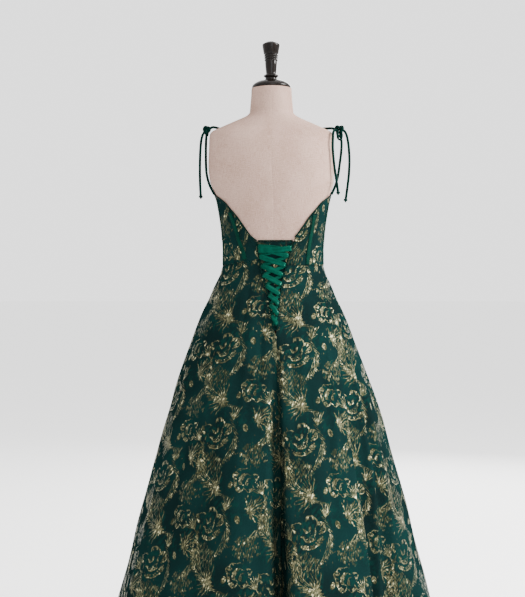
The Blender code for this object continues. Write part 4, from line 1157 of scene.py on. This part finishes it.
bodice = {
    "thick": 0.0013, "columns": 44, "rows": 56, "seamWidth": 0.0024, "seamDepth": 0.0008, "ease": 0.0004,
    "tug": 0.00035, "tugWaves": (31, 120, 190, 0.13),  # small pulls between the seams
    "clothStep": (0.031, 0.017),  # each panel is cut from a place of its own in the cloth
}


def closeEnds(count, close=0.13):  # shares from 0 to 1, closer together at both ends
    t = np.linspace(0, 1, count)
    return t - close * np.sin(2 * math.pi * t)


def bodicePanel(name, leftEdge, rightEdge):
    across = closeEnds(bodice["columns"])[:, None]
    share = closeEnds(bodice["rows"])[None, :]
    height = np.full((bodice["columns"], bodice["rows"]), cut["waist"])
    for _ in range(14):
        turn = leftEdge(height) + across * (rightEdge(height) - leftEdge(height))
        top, bottom = neckHeight(turn), waistHeight(turn) + cut["seamGap"] / 2
        height = bottom + share * (top - bottom)
    flat = bodicePoint(turn, height)
    dip = edgeDip(flat, bodice["seamWidth"], bodice["seamDepth"])
    around, up, rise, lean = bodice["tugWaves"]
    tug = bodice["tug"] * np.sin(np.radians(turn) * around + height * up)
    tug = tug * np.sin(height * rise + turn * lean)
    above = height - cut["waist"]
    waistDip = -bodice["seamDepth"] * np.exp(-((above / bodice["seamWidth"]) ** 2))
    grid = bodicePoint(turn, height, cut["lift"] + bodice["ease"] + dip + tug + waistDip)
    width = lengthsAlong(grid, 0)
    middle = bodice["columns"] // 2
    cloth = np.stack([width - width[middle : middle + 1], lengthsAlong(grid, 1)], axis=-1)
    mesh = gridMesh(name, grid, cloth + np.array(bodice["clothStep"]) * len(name))
    piece = addPiece(name + "_cloth", mesh, ["brocade", "reverse"], "brocade", name)
    thicken(piece, bodice["thick"], 1)


def makeBodice():
    sideTurn = cut["sideSeam"]

    def fixed(turn):
        return lambda height: np.full(np.shape(height), float(turn))

    def seam(function, side):
        levels = np.linspace(1.02, 1.31, 160)
        turns = function(side, levels)
        return lambda height: np.interp(height, levels, turns)

    openLeft, openRight = seam(openingTurn, "left"), seam(openingTurn, "right")
    princessLeft, princessRight = seam(princessTurn, "left"), seam(princessTurn, "right")
    cupLeft, cupRight = seam(cupSeamTurn, "left"), seam(cupSeamTurn, "right")
    bodicePanel("bodice_centre_back_left", openLeft, princessLeft)
    bodicePanel("bodice_side_back_left", princessLeft, fixed(sideTurn))
    bodicePanel("bodice_side_front_left", fixed(sideTurn), cupLeft)
    bodicePanel("bodice_front", cupLeft, cupRight)
    bodicePanel("bodice_side_front_right", cupRight, fixed(360 - sideTurn))
    bodicePanel("bodice_side_back_right", fixed(-sideTurn), princessRight)
    bodicePanel("bodice_centre_back_right", princessRight, openRight)


modesty = {
    "foot": 0.901, "top": 1.1275, "thick": 0.001, "footMargin": 0.004, "margin": 0.012, "behind": 0.0021,
    "rows": 60, "columns": 40, "clothShift": (-0.02, 0.03),
}


def makeModestyPanel():
    heights = np.linspace(modesty["foot"], modesty["top"], modesty["rows"])
    margin = np.interp(heights, [heights[0], cut["waist"]], [modesty["footMargin"], modesty["margin"]])
    left, right = openingEdge("left", heights) + margin, openingEdge("right", heights) - margin
    share = np.linspace(0, 1, modesty["columns"])[:, None]
    distance = right + (left - right) * share
    level = np.broadcast_to(heights, distance.shape)
    lift = -modesty["behind"] - slack(level, cut["waist"])
    grid = backPoint(distance, level, lift)
    cloth = np.stack([distance, level], axis=-1) + np.array(modesty["clothShift"])
    mesh = gridMesh("modesty", grid, cloth)
    piece = addPiece("modesty_cloth", mesh, ["brocade", "reverse"], "brocade", "modesty_panel")
    thicken(piece, modesty["thick"], 1)


makeForm()
makeStand()
makeBodice()
makeModestyPanel()
print("form and bodice made")
makeSkirt()
print("skirt made")


# piping, loops and stitches, by Geometry Nodes

def geometryTree(name, inputs):
    tree = bpy.data.node_groups.new(name, "GeometryNodeTree")
    tree.interface.new_socket("Geometry", in_out="INPUT", socket_type="NodeSocketGeometry")
    for item, kind in inputs:
        tree.interface.new_socket(item, in_out="INPUT", socket_type=kind)
    tree.interface.new_socket("Geometry", in_out="OUTPUT", socket_type="NodeSocketGeometry")
    return tree, tree.nodes.new("NodeGroupInput").outputs, tree.nodes.new("NodeGroupOutput").inputs


def joinUp(tree, *links):
    for start, end in links:
        tree.links.new(start, end)


def sweepTree():  # a round cord along a line of points
    tree, given, out = geometryTree("sweepCord", [
        ("Radius", "NodeSocketFloat"), ("Sides", "NodeSocketInt"), ("Look", "NodeSocketMaterial")])
    line = tree.nodes.new("GeometryNodeMeshToCurve")
    ring = tree.nodes.new("GeometryNodeCurvePrimitiveCircle")
    sweep = tree.nodes.new("GeometryNodeCurveToMesh")
    smooth = tree.nodes.new("GeometryNodeSetShadeSmooth")
    real = tree.nodes.new("GeometryNodeRealizeInstances")
    finish = tree.nodes.new("GeometryNodeSetMaterial")
    sweep.inputs["Fill Caps"].default_value = True
    joinUp(tree, (given["Geometry"], line.inputs["Mesh"]), (given["Radius"], ring.inputs["Radius"]),
           (given["Sides"], ring.inputs["Resolution"]), (line.outputs[0], sweep.inputs["Curve"]),
           (ring.outputs[0], sweep.inputs["Profile Curve"]),
           (sweep.outputs[0], smooth.inputs["Geometry"]), (smooth.outputs[0], real.inputs["Geometry"]),
           (real.outputs[0], finish.inputs["Geometry"]), (given["Look"], finish.inputs["Material"]),
           (finish.outputs[0], out[0]))
    return tree


def seatTree():  # one small piece on every point, turned to the surface and along the seam
    tree, given, out = geometryTree("seatAlongSeam", [
        ("Piece", "NodeSocketObject"), ("Waver", "NodeSocketFloat"), ("Seed", "NodeSocketInt"),
        ("Look", "NodeSocketMaterial")])
    source = tree.nodes.new("GeometryNodeObjectInfo")
    seat = tree.nodes.new("GeometryNodeInstanceOnPoints")
    facing = tree.nodes.new("GeometryNodeInputNamedAttribute")
    along = tree.nodes.new("GeometryNodeInputNamedAttribute")
    stand = tree.nodes.new("FunctionNodeAlignRotationToVector")
    turn = tree.nodes.new("FunctionNodeAlignRotationToVector")
    chance = tree.nodes.new("FunctionNodeRandomValue")
    low = tree.nodes.new("ShaderNodeMath")
    high = tree.nodes.new("ShaderNodeMath")
    real = tree.nodes.new("GeometryNodeRealizeInstances")
    finish = tree.nodes.new("GeometryNodeSetMaterial")
    for node, name in ((facing, "facing"), (along, "along")):
        node.data_type = "FLOAT_VECTOR"
        node.inputs["Name"].default_value = name
    stand.axis, turn.axis, turn.pivot_axis = "Z", "X", "Z"
    low.operation, high.operation = "SUBTRACT", "ADD"
    low.inputs[0].default_value = high.inputs[0].default_value = 1.0
    joinUp(tree, (given["Waver"], low.inputs[1]), (given["Waver"], high.inputs[1]),
           (low.outputs[0], chance.inputs[2]), (high.outputs[0], chance.inputs[3]),
           (given["Seed"], chance.inputs["Seed"]), (facing.outputs[0], stand.inputs["Vector"]),
           (stand.outputs[0], turn.inputs["Rotation"]), (along.outputs[0], turn.inputs["Vector"]),
           (given["Geometry"], seat.inputs["Points"]), (given["Piece"], source.inputs["Object"]),
           (source.outputs["Geometry"], seat.inputs["Instance"]),
           (turn.outputs[0], seat.inputs["Rotation"]), (chance.outputs[1], seat.inputs["Scale"]),
           (seat.outputs[0], real.inputs["Geometry"]), (real.outputs[0], finish.inputs["Geometry"]),
           (given["Look"], finish.inputs["Material"]), (finish.outputs[0], out[0]))
    return tree


trees = {"sweep": sweepTree(), "seat": seatTree()}


def runTree(treeName, mesh, **values):
    carrier = bpy.data.objects.new("carrier", mesh)
    bpy.context.scene.collection.objects.link(carrier)
    modifier = carrier.modifiers.new(treeName, "NODES")
    modifier.node_group = trees[treeName]
    for item in trees[treeName].interface.items_tree:
        if item.in_out == "INPUT" and item.name in values:
            modifier[item.identifier] = values[item.name]
    return plainMesh(carrier)


def lineMesh(points):
    mesh = bpy.data.meshes.new("line")
    mesh.from_pydata([tuple(p) for p in points], [(i, i + 1) for i in range(len(points) - 1)], [])
    return mesh


def cordMesh(points, radius, look, ringSides):
    return runTree("sweep", lineMesh(points), Radius=radius, Sides=ringSides, Look=looks[look])


def seatMesh(points, facing, along, piece, look, waver, seed):  # the piece, repeated on every point
    mesh = bpy.data.meshes.new("seats")
    mesh.from_pydata([tuple(p) for p in points], [], [])
    for name, values in (("facing", facing), ("along", along)):
        layer = mesh.attributes.new(name, "FLOAT_VECTOR", "POINT")
        layer.data.foreach_set("vector", np.asarray(values, np.float32).ravel())
    made = runTree("seat", mesh, Piece=piece, Waver=waver, Seed=seed, Look=looks[look])
    bpy.data.objects.remove(piece, do_unlink=True)
    return made


def joinMeshes(name, meshes):
    shape = bmesh.new()
    for mesh in meshes:
        shape.from_mesh(mesh)
    joined = bpy.data.meshes.new(name)
    shape.to_mesh(joined)
    shape.free()
    joined.shade_smooth()
    return joined


def addCord(name, points, radius, slot, node, ringSides=12):
    mesh = joinMeshes(name, [cordMesh(points, radius, "cord", ringSides)])
    return addPiece(name, mesh, "cord", slot, node)


piping = {
    "radius": 0.0014, "gap": 0.0006, "plump": 1.35, "sink": 0.0008,
    "backEnds": (1.126, 1.135),  # heights where the left and right back runs end at the opening
    "endIn": 0.8,  # degrees that those ends keep clear of the opening
    "sideGap": 0.1,  # degrees between the back and front runs and the side seam
    "backSteps": 90, "frontSteps": 200,
    "modestySpan": (0.0405, -0.0500), "modestySteps": 50, "modestyLift": -0.0015,
}


def neckPiping(name, turns):
    def edge(turn):
        return bodicePoint(turn, neckHeight(turn), cut["lift"] - piping["sink"])

    places = edge(turns)
    along = edge(turns + 0.5) - edge(turns - 0.5)
    up = np.cross(along, outward(formPoint, turns, neckHeight(turns)))
    up /= np.linalg.norm(up, axis=-1, keepdims=True)
    up *= np.sign(up[:, 2])[:, None]
    points = places + up * (piping["radius"] + piping["gap"])
    addCord(name + "_piping", points, piping["radius"] * piping["plump"], "trim", name)


def makePiping():
    leftEnd = float(openingTurn("left", piping["backEnds"][0])) + piping["endIn"]
    rightEnd = float(openingTurn("right", piping["backEnds"][1])) - piping["endIn"]
    side, gap = cut["sideSeam"], piping["sideGap"]
    neckPiping("binding_back_left", np.linspace(leftEnd, side - gap, piping["backSteps"]))
    neckPiping("binding_back_right", np.linspace(-side + gap, rightEnd, piping["backSteps"]))
    neckPiping("binding_front", np.linspace(side + gap, 360 - gap - side, piping["frontSteps"]))
    steps = piping["modestySteps"]
    distance = np.linspace(*piping["modestySpan"], steps)
    top = backPoint(distance, np.full(steps, modesty["top"]), np.full(steps, piping["modestyLift"]))
    top[:, 2] += piping["radius"] + cut["seamGap"]
    addCord("modesty_piping", top, piping["radius"], "trim", "binding_modesty")


lacing = {
    "rows": 9, "top": 1.1145, "pitch": 0.0252, "widthTop": 0.0152, "widthEnd": 0.0104,
    "loopReach": 0.0062, "loopHalf": 0.0052, "loopRadius": 0.0011, "loopSink": 0.0005, "loopRise": 0.0005,
    "loopTurn": 100, "loopWaver": 0.08, "loopSeed": 5,
    "edgeRadius": 0.0013, "edgePast": (0.012, 0.010),  # the edge cord runs past the first and last loop
    "edgeSet": 0.0008, "edgeLift": 0.0012, "loopLift": 0.0022, "slackStart": 0.02,
    "underLift": 0.0018, "overLift": 0.0050, "thick": 0.0006, "underShare": 0.66,
    "overShape": (0.0009, 0.0012), "underShape": (0.0007, -0.0010),  # crown and twist
    "cornerIn": 0.0005, "wobble": 0.0007, "bend": 0.0008, "ripple": 0.00035,
    "foldDown": 0.0022, "foldOver": 0.005,
    # two runs over the top: left height, shift, right height, shift, lift, width, crown, twist, seed
    "topRuns": [
        (1.1020, 0.0, 1.1085, 0.0, 0.0068, 0.0150, 0.0010, 0.0006, 4.4),
        (1.1165, -0.001, 1.1060, 0.004, 0.0034, 0.0100, 0.0008, 0.0008, 2.2),
    ],
}
signs = {"left": 1, "right": -1}


def seedPiece(name, mesh):  # the one piece that a tree repeats
    piece = bpy.data.objects.new(name, mesh)
    bpy.context.scene.collection.objects.link(piece)
    return piece


def loopPiece():  # half a ring of cord that stands out from the edge, in the plane of the cloth
    a = np.radians(np.linspace(-lacing["loopTurn"], lacing["loopTurn"], 22))
    reach = np.cos(a) * lacing["loopReach"] - lacing["loopSink"]
    points = np.stack([np.sin(a) * lacing["loopHalf"], reach, lacing["loopRise"] * np.cos(a)], axis=-1)
    return seedPiece("loopPiece", cordMesh(points, lacing["loopRadius"], "cord", 8))


def loopHeight(row):
    return lacing["top"] - lacing["pitch"] * row


def makeLoops():
    first, last = lacing["edgePast"]
    heights = np.linspace(loopHeight(0) + first, loopHeight(lacing["rows"] - 1) - last, 90)
    rows = np.array([loopHeight(i) for i in range(lacing["rows"])])
    for side, sign in signs.items():
        lift = lacing["edgeLift"] + slack(heights, cut["waist"] + lacing["slackStart"])
        edge = backPoint(openingEdge(side, heights) + sign * lacing["edgeSet"], heights, lift)
        cord = cordMesh(edge, lacing["edgeRadius"], "cord", 10)
        lift = lacing["loopLift"] + slack(rows, cut["waist"] + lacing["slackStart"])
        places = backPoint(openingEdge(side, rows), rows, lift)
        higher = rows + 0.004
        above = backPoint(openingEdge(side, higher), higher, lift)
        facing = outward(garmentPoint, backTurn(openingEdge(side, rows), rows), rows)
        along = (above - places) * -sign
        loops = seatMesh(places, facing, along, loopPiece(), "cord", lacing["loopWaver"],
                         lacing["loopSeed"])
        addPiece(f"lacing_loops_{side}_cord", joinMeshes("loops", [cord, loops]), "cord", "trim",
                 f"lacing_loops_{side}")


def ribbonStrip(start, end, lift, width, crown, twist, seed):
    # start and end are a distance and a height, and the strip folds over at both ends, where loops hold it
    start, end = np.array(start), np.array(end)
    span = np.linalg.norm(end - start)
    way = (end - start) / span
    side = np.array([-way[1], way[0]])
    s = closeEnds(34)[:, None]
    t = np.linspace(-1, 1, 15)[None, :]
    half = width / 2 * (0.80 + 0.20 * np.sin(math.pi * s) ** 0.6)
    bend = lacing["bend"] * np.sin(math.pi * s + seed) * np.sin(math.pi * s)
    flat = start + way * span * s[..., None] + side * (half * t + bend)[..., None]
    high = lift * (0.45 + 0.55 * np.sin(math.pi * s) ** 0.5)
    high = high + crown * (1 - t**2) + lacing["ripple"] * np.sin(t * 4.2 + seed * 2.0 + s * 2.0)
    high = high + twist * t * (s - 0.5)
    curl = np.clip(1 - np.minimum(s, 1 - s) * span / lacing["foldOver"], 0, 1)
    high = high - lacing["foldDown"] * curl**2
    level = flat[..., 1] + 0 * high
    high = high + slack(level, cut["waist"] + lacing["slackStart"])
    return backPoint(flat[..., 0], level, high)


def ribbonWidth(row):
    return lacing["widthTop"] + (lacing["widthEnd"] - lacing["widthTop"]) * row / (lacing["rows"] - 1)


def makeLacing():
    def corner(side, row):
        height = loopHeight(row)
        return float(openingEdge(side, height)) - signs[side] * lacing["cornerIn"], height

    over, under = [], []
    for row in range(lacing["rows"] - 1):
        width = ribbonWidth(row)
        lift = lacing["overLift"] + lacing["wobble"] * math.sin(row * 2.3 + 0.7)
        over.append(ribbonStrip(corner("left", row), corner("right", row + 1), lift, width,
                                *lacing["overShape"], row * 1.7))
        width *= lacing["underShare"]
        under.append(ribbonStrip(corner("right", row), corner("left", row + 1), lacing["underLift"], width,
                                 *lacing["underShape"], row * 2.1 + 1.0))
    for leftHeight, leftShift, rightHeight, rightShift, *shape in lacing["topRuns"]:
        start = (float(openingEdge("left", leftHeight)) + leftShift, leftHeight)
        end = (float(openingEdge("right", rightHeight)) + rightShift, rightHeight)
        over.append(ribbonStrip(start, end, *shape))
    for name, grids in (("lacing_over", over), ("lacing_under", under)):
        flats = [np.stack([lengthsAlong(grid, 0), lengthsAlong(grid, 1)], axis=-1) for grid in grids]
        joined = joinMeshes(name, [gridMesh("strip", grid, flat) for grid, flat in zip(grids, flats)])
        reshape(joined, faceBack)
        piece = addPiece(name + "_ribbon", joined, "ribbon", "ribbon", name)
        thicken(piece, lacing["thick"])


casing = {
    "width": 0.0105, "lift": 0.0015, "thick": 0.0009, "crown": 0.0007,
    "rows": 60, "columns": 13, "crownWaver": (0.3, 260), "threadRadius": 0.00022,
    "stitchPitch": 0.0032, "stitchIn": 0.0012, "stitchLift": 0.0004, "stitchEnds": (0.003, 0.002),
    "stitchHalf": 0.0011, "stitchRise": 0.00025, "stitchWaver": 0.12, "stitchSeed": 9,
    "backSpans": {"left": (1.0805, 1.2035), "right": (1.0680, 1.1960)}, "sideSpan": (1.0695, 1.2420),
}


def stitchPiece():
    half = casing["stitchHalf"]
    rise = casing["stitchRise"] * np.cos(np.linspace(-1.4, 1.4, 7))
    points = np.stack([np.linspace(-half, half, 7), np.zeros(7), rise], axis=-1)
    return seedPiece("stitchPiece", cordMesh(points, casing["threadRadius"], "cord", 5))


def makeCasing(name, middle, bottom, top, panel):
    heights = np.linspace(bottom, top, casing["rows"])
    turns = middle(heights)
    radius = np.linalg.norm(bodicePoint(turns, heights)[:, :2], axis=-1)
    half = np.degrees(casing["width"] / 2 / radius)
    t = np.linspace(-1, 1, casing["columns"])[:, None]
    share, waves = casing["crownWaver"]
    crown = casing["crown"] * (1 - t**2) * (1 + share * np.sin(heights * waves)[None, :])
    turn = turns[None, :] + half[None, :] * t
    grid = bodicePoint(turn, np.broadcast_to(heights, turn.shape), cut["lift"] + casing["lift"] + crown)
    flat = np.stack([np.broadcast_to(t * casing["width"] / 2, turn.shape), lengthsAlong(grid, 1)], axis=-1)
    piece = addPiece(name + "_tape", gridMesh(name, grid, flat), "tape", "trim", name)
    thicken(piece, casing["thick"])
    low, high = casing["stitchEnds"]
    rows = np.arange(bottom + low, top - high, casing["stitchPitch"])
    reach = np.interp(rows, heights, half) * (1 - 2 * casing["stitchIn"] / casing["width"])
    lift = cut["lift"] + casing["lift"] + casing["stitchLift"]
    edges = []
    for sign in (-1, 1):
        turn = middle(rows) + sign * reach
        place = bodicePoint(turn, rows, lift)
        above = bodicePoint(middle(rows + 0.001) + turn - middle(rows), rows + 0.001, lift)
        edges.append((place, outward(formPoint, turn, rows), above - place))
    place, facing, along = (np.concatenate(items) for items in zip(*edges))
    stitches = seatMesh(place, facing, along, stitchPiece(), "cord", casing["stitchWaver"],
                        casing["stitchSeed"])
    addPiece(name + "_stitches", joinMeshes("stitches", [stitches]), "cord", "trim")


def makeCasings():
    for side, sign in signs.items():
        def backSeam(height, side=side):
            return princessTurn(side, height)

        def sideSeam(height, sign=sign):
            return np.full(np.shape(height), sign * cut["sideSeam"])

        panel = f"bodice_side_back_{side}_cloth"
        makeCasing(f"casing_back_{side}", backSeam, *casing["backSpans"][side], panel)
        makeCasing(f"casing_side_{side}", sideSeam, *casing["sideSpan"], panel)


makePiping()
makeCasings()
print("piping and casings made")
makeLoops()
makeLacing()
print("lacing made")


# straps, knots and tails

straps = {
    "radius": 0.0035,
    "rest": 0.0003,
    "backLeft": [
        (0.1674, 0.0121, 1.2790), (0.1750, 0.0090, 1.3060), (0.1773, 0.0070, 1.3350),
        (0.1777, 0.0070, 1.3640), (0.1773, 0.0080, 1.3900), (0.1756, 0.0100, 1.4160),
    ],
    "backRight": [
        (-0.1646, 0.0131, 1.2790), (-0.1715, 0.0120, 1.3060), (-0.1757, 0.0110, 1.3350),
        (-0.1794, 0.0110, 1.3640), (-0.1805, 0.0120, 1.3900), (-0.1776, 0.0140, 1.4153),
    ],
    "front": [  # turn and height
        (99.0, 1.4290), (107.0, 1.4270), (114.0, 1.4180), (120.0, 1.4020), (124.0, 1.3820), (127.5, 1.3580),
        (131.0, 1.3360), (134.5, 1.3170),
    ],
    "frontStarts": {"left": (0.1708, 0.0038, 1.4265), "right": (-0.1709, 0.0083, 1.4238)},
    "arcs": {"left": (0.1590, 0.0010, 1.4335), "right": (-0.1560, 0.0040, 1.4300)},
    "backFoot": (84.5, 0.0052),
    "frontFoot": (137.0, 0.0046),
    "tails": {
        "tail_left": [
            (0.1812, 0.0119, 1.4191), (0.1865, 0.0140, 1.4090), (0.1900, 0.0150, 1.3920),
            (0.1918, 0.0150, 1.3680), (0.1928, 0.0150, 1.3380), (0.1930, 0.0150, 1.3080),
            (0.1922, 0.0150, 1.2780), (0.1908, 0.0150, 1.2520),
        ],
        "tail_right_inner": [
            (-0.1662, 0.0178, 1.4243), (-0.1580, 0.0330, 1.4170), (-0.1555, 0.0470, 1.3960),
            (-0.1550, 0.0500, 1.3720), (-0.1570, 0.0500, 1.3450), (-0.1600, 0.0490, 1.3180),
            (-0.1645, 0.0460, 1.2900), (-0.1690, 0.0420, 1.2600),
        ],
        "tail_right_outer": [
            (-0.1832, 0.0150, 1.4240), (-0.1895, 0.0160, 1.4190), (-0.1950, 0.0160, 1.4050),
            (-0.1990, 0.0160, 1.3800), (-0.2010, 0.0160, 1.3480), (-0.2000, 0.0160, 1.3130),
            (-0.1965, 0.0160, 1.2790), (-0.1915, 0.0160, 1.2430),
        ],
    },
    "loop": [
        (-0.1778, 0.0228, 1.4200), (-0.1806, 0.0265, 1.4110), (-0.1795, 0.0290, 1.4010),
        (-0.1745, 0.0295, 1.3965), (-0.1697, 0.0290, 1.4010), (-0.1688, 0.0265, 1.4110),
        (-0.1712, 0.0228, 1.4200),
    ],
    "loopRadius": 0.0027,
    # centre, size, radius of the cord, lay in degrees, height against width
    "knots": {
        "knot_left": ((0.1750, 0.0100, 1.4235), 0.0082, 0.0035, 25, 1.6),
        "knot_right": ((-0.1745, 0.0150, 1.4225), 0.0105, 0.0038, -20, 1.45),
    },
    "endKnot": (0.0040, 0.0021, 40, 1.0),
    "endKnotPast": 0.0042,
}


def onForm(turn, height):
    turn, height = pair(turn, height)
    lift = straps["radius"] + straps["rest"]
    return formPoint(turn, height, cut["formCup"]) + outward(formPoint, turn, height) * lift


def smoothLine(points, perStep=8):
    count = (len(points) - 1) * perStep + 1
    return curveThrough(points, np.linspace(0, len(points) - 1, count))


def knotPoints(centre, size, lay, tall):  # cord wound over itself: a trefoil, leaning by lay degrees
    t = np.linspace(0, 2 * math.pi, 90)
    flat = np.stack([np.sin(t) + 2 * np.sin(2 * t), np.cos(t) - 2 * np.cos(2 * t), -np.sin(3 * t)], axis=-1)
    a = math.radians(lay)
    wound = flat @ np.array([[math.cos(a), 0, math.sin(a)], [0, 1, 0], [-math.sin(a), 0, math.cos(a)]])
    return np.asarray(centre) + wound[:, [0, 2, 1]] * np.array([1, 1, tall]) * size / 3


def makeKnot(node, centre, size, radius, lay, tall):
    return addCord(node + "_wound", knotPoints(centre, size, lay, tall), radius, "satin_cord", node)


def footPoint(foot, sign):
    return onForm(sign * foot[0], neckHeight(foot[0]) + foot[1])


def makeStraps():
    for side, sign in signs.items():
        back = [footPoint(straps["backFoot"], sign), *straps["back" + side.title()]]
        over = [onForm(sign * turn, height) for turn, height in straps["front"]]
        front = [straps["frontStarts"][side], straps["arcs"][side], *over,
                 footPoint(straps["frontFoot"], sign)]
        for part, points in (("back", back), ("front", front)):
            node = f"strap_{part}_{side}"
            addCord(node + "_cord", smoothLine(points), straps["radius"], "satin_cord", node, 14)
    addCord("loop_right_cord", smoothLine(straps["loop"]), straps["loopRadius"], "satin_cord", "loop_right")
    for node, values in straps["knots"].items():
        makeKnot(node, *values)


def makeTails():
    for name, points in straps["tails"].items():
        curve = bpy.data.curves.new(name, "CURVE")
        curve.dimensions = "3D"
        curve.bevel_depth = straps["radius"]
        curve.bevel_resolution = 5
        curve.use_fill_caps = True
        line = smoothLine(points, 5)
        spline = curve.splines.new("POLY")
        spline.points.add(len(line) - 1)
        for point, place in zip(spline.points, line):
            point.co = (*place, 1)
        spline.use_smooth = True
        cord = addPiece(name + "_cord", curve, "cord", "satin_cord", name)
        end, before = np.array(points[-1]), np.array(points[-2])
        way = (end - before) / np.linalg.norm(end - before)
        knot = makeKnot(name.replace("tail", "tail_knot"), end + way * straps["endKnotPast"],
                        *straps["endKnot"])


makeStraps()
makeTails()
print("straps made")
